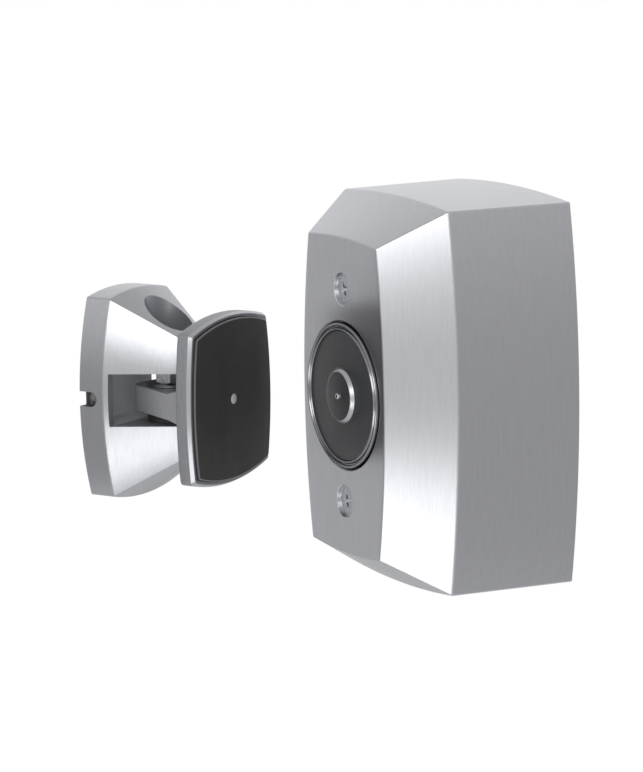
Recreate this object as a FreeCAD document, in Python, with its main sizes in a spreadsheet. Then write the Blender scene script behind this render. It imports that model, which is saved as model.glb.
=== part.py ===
"""Electromagnetic door holder: a wall magnet in a bevelled housing, and a swivelling armature on a door base.

Every sub-part is drawn in its unit's own frame: X across, Y up, Z out from the wall or door face.
"""
import FreeCAD, Part
import math
import os
import re
import Sketcher

Vector = FreeCAD.Vector

# Driving sizes in millimetres and degrees, each with what it measures
SIZES = {
    "housing_width": (77.5, "housing back, across between corners"),
    "housing_height": (133.0, "housing, between corners"),
    "housing_side_bulge": (5.7, "crown of the long sides"),
    "housing_end_bulge": (1.9, "crown of the top and bottom"),
    "side_draft": (1.8, "draft of each long side, wall to shoulder"),
    "shoulder_depth": (46.9, "wall to the edge where the bevels start"),
    "face_depth": (68.4, "wall to the flat front face"),
    "face_width": (48.9, "front face, across between corners"),
    "face_height": (108.1, "front face, between corners"),
    "face_side_bulge": (4.8, "crown of the face's long sides"),
    "face_end_bulge": (1.3, "crown of the face's short sides"),
    "casting_wall": (3.0, "wall of the castings"),
    "face_wall": (4.0, "thickness behind the front face"),
    "cover_screw_spacing": (74.3, "between the two face screws"),
    "recess_diameter": (11.4, "round recess of a face screw"),
    "recess_depth": (1.0, "depth of that recess"),
    "cover_head_diameter": (9.4, "countersunk head of a face screw"),
    "cover_shank_diameter": (4.8, "shank of a face screw"),
    "cover_screw_reach": (4.0, "screw end past the bracket"),
    "shank_clearance": (0.25, "gap round a screw in a clearance hole"),
    "thread_clearance": (0.05, "gap round a screw in its tapped hole"),
    "plate_clearance": (0.6, "gap round the wall plate in the housing"),
    "wall_plate_thickness": (2.0, "steel of the wall plate"),
    "box_screw_spacing": (83.3, "between the slots for the wall box screws"),
    "box_slot_width": (4.6, "width of those slots"),
    "box_slot_length": (9.0, "end to end length of those slots"),
    "cable_hole_diameter": (22.2, "cable way through the wall plate"),
    "cable_hole_height": (16.0, "cable way above the magnet axis"),
    "bracket_thickness": (2.5, "steel of the magnet bracket"),
    "bracket_width": (50.0, "over the bracket's two webs"),
    "bracket_height": (92.0, "length of the folded strip"),
    "bracket_flange": (9.0, "width of each foot flange"),
    "bend_radius": (0.8, "inside radius of the folds"),
    "foot_screw_diameter": (3.9, "screws through the flanges"),
    "foot_screw_spacing": (72.0, "between those screws, up and down"),
    "foot_screw_head": (7.4, "head of those screws"),
    "foot_screw_head_height": (2.4, "height of that head"),
    "magnet_diameter": (50.8, "steel cup of the magnet"),
    "magnet_length": (24.9, "length of the cup"),
    "magnet_rise": (1.0, "cup rim proud of the front face"),
    "magnet_gap": (0.6, "gap round the cup in the housing"),
    "rim_width": (2.9, "wall of the cup"),
    "cup_floor": (5.0, "floor of the cup"),
    "pole_diameter": (19.05, "centre pole"),
    "pole_rise": (1.1, "pole front proud of the cup rim"),
    "pole_chamfer": (0.8, "chamfer round the pole front"),
    "filler_recess": (0.5, "filled face below the cup rim"),
    "filler_depth": (2.6, "depth of the filling over the coil"),
    "fit_gap": (0.05, "gap between pieces that are set together"),
    "bobbin_wall": (1.2, "wall of the coil former"),
    "bobbin_flange_gap": (0.5, "coil former flange to the cup wall"),
    "magnet_bolt_diameter": (5.9, "bolt behind the magnet"),
    "magnet_bolt_reach": (9.0, "that bolt inside the pole"),
    "bolt_head_diameter": (10.0, "its socket head"),
    "bolt_head_height": (4.0, "height of that head"),
    "socket_width": (5.0, "across flats of the hexagon socket"),
    "lock_washer_thickness": (1.4, "split washer"),
    "pin_diameter": (2.1, "release pin"),
    "pin_travel": (0.9, "release pin proud of the pole"),
    "pin_collar_diameter": (4.5, "collar that keeps the pin in"),
    "pin_collar_length": (1.6, "length of that collar"),
    "pin_land": (4.0, "pole metal in front of the collar"),
    "pin_clearance": (0.07, "gap round the pin and its collar"),
    "spring_wire": (0.5, "wire of the pin's spring"),
    "spring_turns": (4, "turns of that spring"),
    "lead_hole_offset": (16.0, "lead hole below the magnet axis"),
    "lead_hole_diameter": (7.0, "lead hole in the cup and the bracket"),
    "grommet_wall": (1.2, "rubber of the lead grommet"),
    "grommet_flange": (1.2, "flange of the grommet"),
    "board_width": (34.0, "circuit board"),
    "board_height": (23.0, "circuit board"),
    "board_thickness": (1.6, "circuit board"),
    "board_offset": (25.0, "board centre below the magnet axis"),
    "spacer_height": (5.0, "spacers below the board"),
    "spacer_width": (5.5, "across flats of the spacers"),
    "spacer_spacing": (27.0, "between the two spacers"),
    "board_screw_diameter": (2.9, "screws of the board"),
    "board_screw_head": (5.4, "head of those screws"),
    "terminal_pitch": (5.08, "between the terminals"),
    "terminal_depth": (8.0, "terminal block"),
    "terminal_height": (10.0, "terminal block"),
    "terminal_offset": (19.0, "terminal block centre below the magnet axis"),
    "terminal_screw_diameter": (3.0, "screws of the terminals"),
    "rectifier_width": (8.5, "rectifier"),
    "rectifier_depth": (6.4, "rectifier"),
    "rectifier_height": (3.2, "rectifier"),
    "rectifier_offset": (31.0, "rectifier centre below the magnet axis"),
    "earth_screw_diameter": (3.9, "earth screw"),
    "earth_screw_head": (7.6, "head of the earth screw"),
    "earth_screw_x": (17.0, "earth screw, across"),
    "earth_screw_y": (-3.0, "earth screw, up"),
    "door_unit_x": (-55.5, "middle of the door base's back"),
    "door_unit_y": (-128.3, "middle of the door base's back"),
    "door_yaw": (28.95, "way the door unit faces"),
    "swivel_rest": (5.0, "armature turned from square as pictured"),
    "base_width": (34.2, "door base, across between corners"),
    "base_height": (69.5, "door base, between corners"),
    "base_side_bulge": (5.6, "crown of its long sides"),
    "base_end_bulge": (2.0, "crown of its short sides"),
    "rim_depth": (9.9, "straight rim of the door base"),
    "base_depth": (35.0, "door face to the base's front"),
    "front_width": (11.6, "base front, across between corners"),
    "front_height": (39.4, "base front, between corners"),
    "front_side_bulge": (3.0, "crown of the front's long sides"),
    "front_end_bulge": (0.5, "crown of the front's short sides"),
    "slot_height": (18.4, "slot for the swivel lug"),
    "window_start": (11.5, "door face to the side windows"),
    "shelf_wall": (3.0, "webs above and below the slot"),
    "back_web": (1.2, "web at the back of the slot"),
    "hollow_depth": (10.0, "depth of the hollow back"),
    "boss_spacing": (48.0, "between the two tapped bosses"),
    "boss_diameter": (10.0, "tapped bosses for the door bolts"),
    "door_bolt_hole": (5.0, "tapped hole in a boss"),
    "door_bolt_depth": (12.0, "depth of that hole"),
    "notch_width": (5.2, "notch in each side of the rim"),
    "notch_depth": (7.2, "depth of that notch"),
    "pivot_reach": (22.5, "door face to the swivel axis"),
    "wrench_hole_diameter": (16.7, "hole over the pivot bolt's head"),
    "pivot_diameter": (5.9, "pivot bolt"),
    "pivot_clearance": (0.05, "running gap in the pivot bush"),
    "pivot_head_width": (9.6, "across flats of the pivot bolt's head"),
    "pivot_head_height": (5.4, "height of that head"),
    "pivot_hole_depth": (13.0, "tapped hole below the slot"),
    "pivot_thread_reach": (11.0, "bolt in that hole"),
    "washer_diameter": (16.4, "washers beside the lug"),
    "washer_thickness": (0.9, "washer above the lug"),
    "bush_wall": (1.4, "bronze bush in the lug"),
    "washer_clearance": (0.1, "end float of the lug"),
    "lug_low": (-6.0, "underside of the lug"),
    "lug_thickness": (9.2, "lug, up and down"),
    "lug_rise": (3.0, "growth of the lug's top towards the plate"),
    "lug_swell": (0.9, "growth of its underside towards the plate"),
    "lug_back": (12.4, "swivel axis to the lug's tip"),
    "lug_tip_width": (7.6, "width of the tip"),
    "lug_root_width": (45.6, "width where the lug meets the plate"),
    "lug_tip_radius": (2.0, "rounding of the tip"),
    "lug_root_radius": (7.0, "blend into the plate"),
    "carrier_back": (18.5, "swivel axis to the carrier's back"),
    "carrier_thickness": (5.2, "carrier plate"),
    "plate_width": (52.8, "carrier, across between corners at the bevel"),
    "plate_height": (52.0, "carrier, between corners"),
    "plate_side_bulge": (2.2, "crown of its sides"),
    "plate_end_bulge": (3.7, "crown of its top and bottom"),
    "plate_bevel_depth": (1.2, "bevel round the carrier's front"),
    "plate_bevel_inset": (0.7, "bevel round the carrier's front"),
    "tray_wall": (1.0, "land round the armature"),
    "tray_depth": (2.6, "armature let into the carrier"),
    "armature_gap": (0.15, "gap round the armature"),
    "armature_rise": (1.5, "armature proud of the carrier"),
    "armature_bevel": (0.6, "bevel round the armature's face"),
    "rivet_diameter": (3.6, "rivet at the armature's centre"),
    "rivet_reach": (5.0, "rivet inside the carrier"),
}

# Lengths worked out from the driving sizes
CUP_BACK = "(face_depth + magnet_rise - magnet_length)"
RIM_TOP = "(face_depth + magnet_rise)"
POLE_TOP = "(face_depth + magnet_rise + pole_rise)"
CUP_INSIDE = "(face_depth + magnet_rise - magnet_length + cup_floor)"
FILLER_TOP = "(face_depth + magnet_rise - filler_recess)"
COIL_TOP = "(face_depth + magnet_rise - filler_recess - filler_depth)"
PIN_SHOULDER = "(face_depth + magnet_rise + pole_rise - pin_land)"
SPRING_SEAT = "(face_depth + magnet_rise - magnet_length + cup_floor + magnet_bolt_reach)"
BOARD_LOW = "(wall_plate_thickness + spacer_height)"
BOARD_TOP = "(wall_plate_thickness + spacer_height + board_thickness)"
RECESS_FLOOR = "(face_depth - recess_depth)"
HEAD_CONE = "((cover_head_diameter - cover_shank_diameter) / 2)"
LUG_TOP = "(lug_low + lug_thickness)"
CARRIER_FRONT = "(carrier_back + carrier_thickness)"
TRAY_FLOOR = "(carrier_back + carrier_thickness - tray_depth)"
ARMATURE_FRONT = "(carrier_back + carrier_thickness + armature_rise)"
TRAY_INSET = "(2 * (plate_bevel_inset + tray_wall))"

WALL_PLACE = "placement(vector(0; 0; 0); rotation(0; 0; 90))"
DOOR_PLACE = "placement(vector(door_unit_x; door_unit_y; 0); rotation(door_yaw + 90; 0; 90))"
SWIVEL_PLACE = (
    "placement(vector(door_unit_x + pivot_reach * cos(door_yaw * 1deg);"
    " door_unit_y + pivot_reach * sin(door_yaw * 1deg); 0);"
    " rotation(door_yaw + swivel_rest + 90; 0; 90))"
)

doc = FreeCAD.newDocument("door_holder")
sheet = doc.addObject("Spreadsheet::Sheet", "sizes")
nodes = []


def fill_sheet():
    """Writes every driving size to the sheet, with its name as alias."""
    for row, (name, (number, meaning)) in enumerate(SIZES.items(), start=1):
        sheet.set(f"A{row}", meaning)
        sheet.set(f"B{row}", str(number))
        sheet.setAlias(f"B{row}", name)
    doc.recompute()


def bound(text):
    """The expression with each size named as a cell of the sheet."""
    return re.sub(r"[a-z_]+", lambda m: "sizes." + m[0] if m[0] in SIZES else m[0], str(text))


def number(text):
    """What an expression over the sheet is worth now."""
    return float(sheet.evalExpression(bound(text)))


def new_body(label, place):
    """An empty body for one sub-part, set in its place."""
    body = doc.addObject("PartDesign::Body", label)
    body.Label = label
    body.setExpression("Placement", bound(place))
    nodes.append(body)
    return body


def origin_plane(body, role):
    """One of the body's own origin planes."""
    return next(f for f in body.Origin.OriginFeatures if f.Role == role)


def new_sketch(body, role="XY_Plane", offset="0"):
    """A sketch on an origin plane, moved along the plane's normal."""
    sketch = body.newObject("Sketcher::SketchObject", "sketch")
    sketch.AttachmentSupport = (origin_plane(body, role), [""])
    sketch.MapMode = "FlatFace"
    sketch.setExpression("AttachmentOffset.Base.z", bound(offset))
    return sketch


def constrain(sketch, kind, *places, size):
    """A constraint of the sketch, bound to an expression over the sheet."""
    index = sketch.addConstraint(Sketcher.Constraint(kind, *places, number(size)))
    sketch.setExpression(f"Constraints[{index}]", bound(size))


def pin_point(sketch, line, end, x, y):
    """Holds one point of the sketch at x, y from its origin."""
    constrain(sketch, "DistanceX", -1, 1, line, end, size=x)
    constrain(sketch, "DistanceY", -1, 1, line, end, size=y)


def polygon(sketch, corners):
    """A closed outline of straight lines through the given corners."""
    spots = [Vector(number(x), number(y), 0) for x, y in corners]
    first = sketch.GeometryCount
    count = len(spots)
    for i in range(count):
        sketch.addGeometry(Part.LineSegment(spots[i], spots[(i + 1) % count]))
    for i, (x, y) in enumerate(corners):
        previous = first + (i - 1) % count
        sketch.addConstraint(Sketcher.Constraint("Coincident", previous, 2, first + i, 1))
        pin_point(sketch, first + i, 1, x, y)
    return sketch


def rectangle(sketch, width, height, x="0", y="0"):
    """A rectangle about x, y."""
    signs = [(-1, -1), (1, -1), (1, 1), (-1, 1)]
    corners = [(f"{x} + ({i}) * ({width}) / 2", f"{y} + ({j}) * ({height}) / 2") for i, j in signs]
    return polygon(sketch, corners)


def circle(sketch, diameter, x="0", y="0"):
    """A circle about x, y."""
    centre = Vector(number(x), number(y), 0)
    index = sketch.addGeometry(Part.Circle(centre, Vector(0, 0, 1), number(diameter) / 2))
    constrain(sketch, "Diameter", index, size=diameter)
    pin_point(sketch, index, 3, x, y)
    return sketch


def hexagon(sketch, flats, x="0", y="0"):
    """A regular hexagon about x, y, by its width across flats."""
    corners = [
        (f"{x} + {flats} / sqrt(3) * cos({60 * i}deg)", f"{y} + {flats} / sqrt(3) * sin({60 * i}deg)")
        for i in range(6)
    ]
    return polygon(sketch, corners)


def upright_slot(sketch, width, length, x, y):
    """A slot with round ends, its length along the sketch's Y."""
    half, straight = number(width) / 2, (number(length) - number(width)) / 2
    cx, cy = number(x), number(y)
    first = sketch.GeometryCount
    for side, start in ((1, 0), (-1, math.pi)):
        ring = Part.Circle(Vector(cx, cy + side * straight, 0), Vector(0, 0, 1), half)
        sketch.addGeometry(Part.ArcOfCircle(ring, start, start + math.pi))
    for side in (-1, 1):
        ends = [Vector(cx + side * half, cy + end * straight, 0) for end in (1, -1)]
        sketch.addGeometry(Part.LineSegment(*ends))
    top, low, left, right = range(first, first + 4)
    for joint in ((top, 2, left, 1), (left, 2, low, 1), (low, 2, right, 2), (right, 1, top, 1)):
        sketch.addConstraint(Sketcher.Constraint("Tangent", *joint))
    for arc, side in ((top, "+"), (low, "-")):
        constrain(sketch, "Radius", arc, size=f"({width}) / 2")
        pin_point(sketch, arc, 3, x, f"({y}) {side} (({length}) - ({width})) / 2")
    return sketch


def barrel(sketch, width, height, side_bulge, end_bulge):
    """A rectangle whose four sides are arcs that swell outwards."""
    w, h = number(width) / 2, number(height) / 2
    side, end = number(side_bulge), number(end_bulge)
    corners = [Vector(w, -h, 0), Vector(w, h, 0), Vector(-w, h, 0), Vector(-w, -h, 0)]
    crowns = [Vector(w + side, 0, 0), Vector(0, h + end, 0), Vector(-w - side, 0, 0), Vector(0, -h - end, 0)]
    for i in range(4):
        sketch.addGeometry(Part.Arc(corners[i], crowns[i], corners[(i + 1) % 4]))
    for i, (x, y) in enumerate([(1, -1), (1, 1), (-1, 1), (-1, -1)]):
        sketch.addConstraint(Sketcher.Constraint("Coincident", (i - 1) % 4, 2, i, 1))
        pin_point(sketch, i, 1, f"({x}) * ({width}) / 2", f"({y}) * ({height}) / 2")
    for i, (span, bulge) in enumerate([(height, side_bulge), (width, end_bulge)] * 2):
        radius = f"(({span})^2 / 4 + ({bulge})^2) / (2 * ({bulge}))"
        constrain(sketch, "Radius", i, size=radius)
    return sketch


def feature(body, kind, sketch, **settings):
    """Adds a feature made from one sketch."""
    made = body.newObject("PartDesign::" + kind, kind.lower())
    made.Profile = sketch
    for name, setting in settings.items():
        setattr(made, name, setting)
    return made


def settle(body, made):
    """Makes the feature the body's tip and works out its shape."""
    body.Tip = made
    doc.recompute()
    if "Invalid" in made.State or "Error" in made.State or made.Shape.isNull():
        raise RuntimeError(f"{body.Label}: {made.Name} failed")
    return made


def pad(body, sketch, length, symmetric=False, reverse=False):
    """Extrudes a sketch along its normal, or both ways."""
    side = "Symmetric" if symmetric else "One side"
    made = feature(body, "Pad", sketch, SideType=side, Reversed=reverse)
    made.setExpression("Length", bound(length))
    return settle(body, made)


def checked_cut(body, made):
    """Settles a cut and makes sure that it took metal away."""
    before = body.Shape.Volume
    settle(body, made)
    if made.Shape.Volume >= before - 1e-6:
        raise RuntimeError(f"{body.Label}: {made.Name} cuts nothing")
    return made


def pocket(body, sketch, length=None, forward=True, symmetric=False):
    """Cuts a sketch along its normal, or against it, to a depth or right through."""
    side = "Symmetric" if symmetric else "One side"
    made = feature(body, "Pocket", sketch, SideType=side, Reversed=forward)
    if length is None:
        made.Type = "ThroughAll"
    else:
        made.setExpression("Length", bound(length))
    return checked_cut(body, made)


def revolve(body, sketch, axis="V_Axis", angle=360):
    """Turns a sketch about one of its axes."""
    made = feature(body, "Revolution", sketch, ReferenceAxis=(sketch, [axis]), Angle=angle)
    return settle(body, made)


def groove(body, sketch, axis="V_Axis"):
    """Cuts the solid that a sketch makes when turned about one of its axes."""
    made = feature(body, "Groove", sketch, ReferenceAxis=(sketch, [axis]), Angle=360)
    return checked_cut(body, made)


def loft(body, low, high, cut=False):
    """A straight-sided loft between two outlines, added or cut."""
    kind = "SubtractiveLoft" if cut else "AdditiveLoft"
    made = feature(body, kind, low, Sections=[high], Ruled=True)
    return checked_cut(body, made) if cut else settle(body, made)


def mirrored(body, features, role):
    """The features again on the other side of an origin plane."""
    made = body.newObject("PartDesign::Mirrored", "mirrored")
    made.Originals = features
    made.MirrorPlane = (origin_plane(body, role), [""])
    return settle(body, made)


def edge_names(shape, chosen):
    """Names of the edges whose middle point passes the test."""
    names = []
    for index, edge in enumerate(shape.Edges, start=1):
        middle = edge.valueAt((edge.FirstParameter + edge.LastParameter) / 2)
        if chosen(edge, middle):
            names.append(f"Edge{index}")
    return names


def soften(body, chosen, size, kind="Fillet"):
    """Rounds or chamfers the edges of the body's tip that pass the test."""
    base = body.Tip
    names = edge_names(base.Shape, chosen)
    if not names:
        raise RuntimeError(f"{body.Label}: no edge to soften")
    made = body.newObject("PartDesign::" + kind, kind.lower())
    made.Base = (base, names)
    made.setExpression("Radius" if kind == "Fillet" else "Size", bound(size))
    return settle(body, made)


def near(a, b):
    """Whether two lengths are the same within a hundredth of a millimetre."""
    return abs(a - b) < 0.01


def turned(label, place, outline, angle=360):
    """A turned piece about the unit's Z axis, from its half section (radius, height)."""
    body = new_body(label, place)
    revolve(body, polygon(new_sketch(body, "XZ_Plane"), outline), angle=angle)
    return body


def turned_upright(label, place, outline, reach="0"):
    """A turned piece about an upright axis, from its half section (radius, height)."""
    body = new_body(label, place)
    revolve(body, polygon(new_sketch(body, "XY_Plane", reach), outline))
    return body


def ring_outline(inner, outer, low, high):
    """Half section of a plain ring."""
    return [(inner, low), (outer, low), (outer, high), (inner, high)]


def housing():
    """Bevelled cast cover with barrel sides, open at the wall."""
    body = new_body("housing", WALL_PLACE)
    shoulder_width = "(housing_width - 2 * side_draft)"
    bulges = ("housing_side_bulge", "housing_end_bulge")
    face_bulges = ("face_side_bulge", "face_end_bulge")
    back = barrel(new_sketch(body), "housing_width", "housing_height", *bulges)
    shoulder = barrel(new_sketch(body, offset="shoulder_depth"), shoulder_width, "housing_height", *bulges)
    face = barrel(new_sketch(body, offset="face_depth"), "face_width", "face_height", *face_bulges)
    loft(body, back, shoulder)
    loft(body, shoulder, face)
    two_walls = "2 * casting_wall"
    inner_back = barrel(
        new_sketch(body), f"housing_width - {two_walls}", f"housing_height - {two_walls}", *bulges)
    inner_shoulder_depth = "(shoulder_depth - casting_wall / 2)"
    inner_shoulder = barrel(
        new_sketch(body, offset=inner_shoulder_depth),
        f"{shoulder_width} - {two_walls}", f"housing_height - {two_walls}", *bulges)
    inner_face = barrel(
        new_sketch(body, offset="face_depth - face_wall"),
        "face_width - 0.8 * casting_wall", "face_height - 0.8 * casting_wall", *face_bulges)
    loft(body, inner_back, inner_shoulder, cut=True)
    loft(body, inner_shoulder, inner_face, cut=True)
    opening = circle(new_sketch(body, offset="face_depth"), "magnet_diameter + 2 * magnet_gap")
    pocket(body, opening, "2 * face_wall", forward=False)
    seat, middle = "cover_head_diameter / 2", "cover_shank_diameter / 2"
    cut = new_sketch(body, "XZ_Plane", "-cover_screw_spacing / 2")
    polygon(cut, [
        ("0", "face_depth - 2 * face_wall"), (f"{middle} + shank_clearance", "face_depth - 2 * face_wall"),
        (f"{middle} + shank_clearance", f"{RECESS_FLOOR} - {HEAD_CONE} + shank_clearance - thread_clearance"),
        (f"{seat} + thread_clearance", RECESS_FLOOR), ("recess_diameter / 2", RECESS_FLOOR),
        ("recess_diameter / 2", "face_depth + 1"), ("0", "face_depth + 1")])
    mirrored(body, [groove(body, cut)], "XZ_Plane")


def cover_screws():
    """Two countersunk screws that hold the housing to the bracket."""
    body = new_body("cover_screws", WALL_PLACE)
    shank, head = "cover_shank_diameter / 2", "cover_head_diameter / 2"
    low = f"({CUP_BACK} - bracket_thickness - cover_screw_reach)"
    section = polygon(new_sketch(body, "XZ_Plane", "-cover_screw_spacing / 2"), [
        ("0", low), (shank, low), (shank, f"{RECESS_FLOOR} - {HEAD_CONE}"), (head, RECESS_FLOOR),
        ("0", RECESS_FLOOR)])
    mirrored(body, [revolve(body, section)], "XZ_Plane")


def wall_plate():
    """Flat steel plate that screws to the wall box and fits inside the housing."""
    body = new_body("wall_plate", WALL_PLACE)
    inset = "2 * (casting_wall + plate_clearance)"
    outline = rectangle(new_sketch(body), f"housing_width - {inset}", f"housing_height - {inset}")
    pad(body, outline, "wall_plate_thickness")
    slot = upright_slot(new_sketch(body), "box_slot_width", "box_slot_length", "0", "box_screw_spacing / 2")
    tapped = "foot_screw_diameter + 2 * thread_clearance"
    foot = new_sketch(body)
    for side in ("-1", "1"):
        circle(foot, tapped, f"{side} * (bracket_width + bracket_flange) / 2", "foot_screw_spacing / 2")
    mirrored(body, [pocket(body, slot), pocket(body, foot)], "XZ_Plane")
    pocket(body, circle(new_sketch(body), "cable_hole_diameter", y="cable_hole_height"))
    pocket(body, circle(new_sketch(body), "earth_screw_diameter + 2 * thread_clearance",
                        "earth_screw_x", "earth_screw_y"))


def magnet_bracket():
    """Folded steel strip with two feet that carries the magnet behind the front face."""
    body = new_body("magnet_bracket", WALL_PLACE)
    web, inside = "bracket_width / 2", "(bracket_width / 2 - bracket_thickness)"
    foot, low = "(bracket_width / 2 + bracket_flange)", "wall_plate_thickness"
    step, top = "(wall_plate_thickness + bracket_thickness)", CUP_BACK
    under = f"({CUP_BACK} - bracket_thickness)"
    half = [(inside, low), (foot, low), (foot, step), (web, step), (web, top)]
    section = [(f"-{inside}", under), (inside, under)] + half
    section += [(f"-{x}", z) for x, z in reversed(half)]
    pad(body, polygon(new_sketch(body, "XZ_Plane"), section), "bracket_height", symmetric=True)
    bends = [(inside, under), (web, step)], [(web, top), (inside, low)]
    for places, radius in zip(bends, ("bend_radius", "bend_radius + bracket_thickness")):
        spots = [(number(x), number(z)) for x, z in places]
        soften(body, lambda edge, middle: near(middle.y, 0) and any(
            near(abs(middle.x), x) and near(middle.z, z) for x, z in spots), radius)
    holes = circle(new_sketch(body), "magnet_bolt_diameter + 2 * shank_clearance")
    circle(holes, "lead_hole_diameter", y="-lead_hole_offset")
    for y in ("1", "-1"):
        circle(holes, "cover_shank_diameter + 2 * thread_clearance", y=f"{y} * cover_screw_spacing / 2")
        for x in ("1", "-1"):
            circle(holes, "foot_screw_diameter + 2 * shank_clearance",
                   f"{x} * (bracket_width + bracket_flange) / 2", f"{y} * foot_screw_spacing / 2")
    pocket(body, holes)


def pan_screws(label, spots, seat, diameter, head, head_height, depth, mirror=None):
    """Pan head screws standing on a seat."""
    body = new_body(label, WALL_PLACE)
    heads = new_sketch(body, offset=seat)
    shanks = new_sketch(body, offset=seat)
    for x, y in spots:
        circle(heads, head, x, y)
        circle(shanks, diameter, x, y)
    pads = [pad(body, heads, head_height), pad(body, shanks, depth, reverse=True)]
    if mirror:
        mirrored(body, pads, mirror)


def bracket_screws():
    """Four screws that hold the bracket's feet to the wall plate."""
    x = "(bracket_width + bracket_flange) / 2"
    spots = [(f"{side} * {x}", "foot_screw_spacing / 2") for side in ("1", "-1")]
    seat = "(wall_plate_thickness + bracket_thickness)"
    pan_screws("bracket_screws", spots, seat, "foot_screw_diameter", "foot_screw_head",
               "foot_screw_head_height", f"{seat} - 0.2", "XZ_Plane")


def magnet_cup():
    """Turned steel cup whose rim shows as a ring round the face."""
    outer, inner = "magnet_diameter / 2", "(magnet_diameter / 2 - rim_width)"
    hole = "(magnet_bolt_diameter / 2 + shank_clearance)"
    body = turned("magnet_cup", WALL_PLACE, [
        (hole, CUP_BACK), (outer, CUP_BACK), (outer, RIM_TOP), (inner, RIM_TOP), (inner, CUP_INSIDE),
        (hole, CUP_INSIDE)])
    leads = circle(new_sketch(body, offset=CUP_BACK), "lead_hole_diameter", y="-lead_hole_offset")
    pocket(body, leads, "cup_floor")


def pole_core():
    """Centre pole, bored for the release pin and tapped for its bolt."""
    outer, tapped = "pole_diameter / 2", "(magnet_bolt_diameter / 2 + thread_clearance)"
    bore = "(pin_diameter / 2 + pin_clearance)"
    chamber = "(pin_collar_diameter / 2 + pin_clearance)"
    outline = [
        (tapped, CUP_INSIDE), (outer, CUP_INSIDE), (outer, f"{POLE_TOP} - pole_chamfer"),
        (f"{outer} - pole_chamfer", POLE_TOP), (bore, POLE_TOP), (bore, PIN_SHOULDER),
        (chamber, PIN_SHOULDER), (chamber, SPRING_SEAT), (tapped, SPRING_SEAT)]
    turned("pole_core", WALL_PLACE, outline)


def coil():
    """Flanged plastic former and the copper wound on it."""
    core, wall = "(pole_diameter / 2 + fit_gap)", "bobbin_wall"
    flange = "(magnet_diameter / 2 - rim_width - bobbin_flange_gap)"
    low, high = f"({CUP_INSIDE})", COIL_TOP
    inside, outside = f"{low} + {wall}", f"{high} - {wall}"
    turned("coil_former", WALL_PLACE, [
        (core, low), (flange, low), (flange, inside), (f"{core} + {wall}", inside),
        (f"{core} + {wall}", outside), (flange, outside), (flange, high), (core, high)])
    turned("coil_winding", WALL_PLACE, ring_outline(
        f"{core} + {wall} + fit_gap", f"{flange} - {wall}", f"{inside} + fit_gap", f"{outside} - fit_gap"))


def face_filler():
    """Dark filling poured over the coil, flush between rim and pole."""
    turned("face_filler", WALL_PLACE, ring_outline(
        "pole_diameter / 2 + fit_gap", "magnet_diameter / 2 - rim_width - fit_gap", COIL_TOP, FILLER_TOP))


def release_pin():
    """Sprung pin in the pole that pushes the armature off when the current stops."""
    stem, collar = "pin_diameter / 2", "pin_collar_diameter / 2"
    low, tip = f"({PIN_SHOULDER} - pin_collar_length)", f"({POLE_TOP} + pin_travel)"
    crown = "0.25 * pin_diameter"
    outline = [("0", low), (collar, low), (collar, PIN_SHOULDER), (stem, PIN_SHOULDER),
               (stem, f"{tip} - {crown}"), (f"{stem} - {crown}", tip), ("0", tip)]
    turned("release_pin", WALL_PLACE, outline)


def pin_spring():
    """Small coil spring between the magnet bolt and the pin's collar, its wire drawn square in short runs."""
    wire, seat = number("spring_wire"), number(SPRING_SEAT)
    length = number(f"{PIN_SHOULDER} - pin_collar_length") - seat - wire
    radius = number("pin_collar_diameter") / 2 - wire / 2
    runs = int(number("spring_turns")) * 12
    points = []
    for i in range(runs + 1):
        angle = math.radians(30 * i)
        points.append(Vector(radius * math.cos(angle), radius * math.sin(angle), length * i / runs))
    half = wire / 2
    square = ((-1, -1), (1, -1), (1, 1), (-1, 1), (-1, -1))
    corners = [Vector(radius + x * half, 0, y * half) for x, y in square]
    coil_shape = Part.makePolygon(points).makePipeShell([Part.makePolygon(corners)], True, False, 1)
    spring = doc.addObject("Part::Feature", "pin_spring")
    spring.Label = "pin_spring"
    spring.Shape = coil_shape
    spring.setExpression("Placement", bound(
        f"placement(vector(0; -({SPRING_SEAT} + spring_wire / 2); 0); rotation(0; 0; 90))"))
    nodes.append(spring)


def magnet_bolt():
    """Socket head bolt that draws the pole and cup onto the bracket."""
    shank, head = "magnet_bolt_diameter / 2", "bolt_head_diameter / 2"
    seat = f"({CUP_BACK} - bracket_thickness - lock_washer_thickness)"
    outline = [("0", f"{seat} - bolt_head_height"), (head, f"{seat} - bolt_head_height"), (head, seat),
               (shank, seat), (shank, SPRING_SEAT), ("0", SPRING_SEAT)]
    body = turned("magnet_bolt", WALL_PLACE, outline)
    socket = hexagon(new_sketch(body, offset=f"{seat} - bolt_head_height"), "socket_width")
    pocket(body, socket, "0.5 * bolt_head_height")
    washer = ring_outline(
        "magnet_bolt_diameter / 2 + shank_clearance", head, seat, f"{seat} + lock_washer_thickness")
    turned("lock_washer", WALL_PLACE, washer, angle=346)


def lead_grommet():
    """Rubber grommet that guards the coil leads through the cup and the bracket."""
    outer, bore = "(lead_hole_diameter / 2 - fit_gap)", "(lead_hole_diameter / 2 - grommet_wall)"
    under = f"({CUP_BACK} - bracket_thickness)"
    body = new_body("lead_grommet", WALL_PLACE)
    stem = new_sketch(body, offset=under)
    flange = new_sketch(body, offset=under)
    for sketch, diameter in ((stem, f"2 * {outer}"), (flange, f"2 * {outer} + 2 * grommet_flange")):
        circle(sketch, diameter, y="-lead_hole_offset")
        circle(sketch, f"2 * {bore}", y="-lead_hole_offset")
    pad(body, stem, "bracket_thickness + cup_floor")
    pad(body, flange, "grommet_flange", reverse=True)


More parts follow.
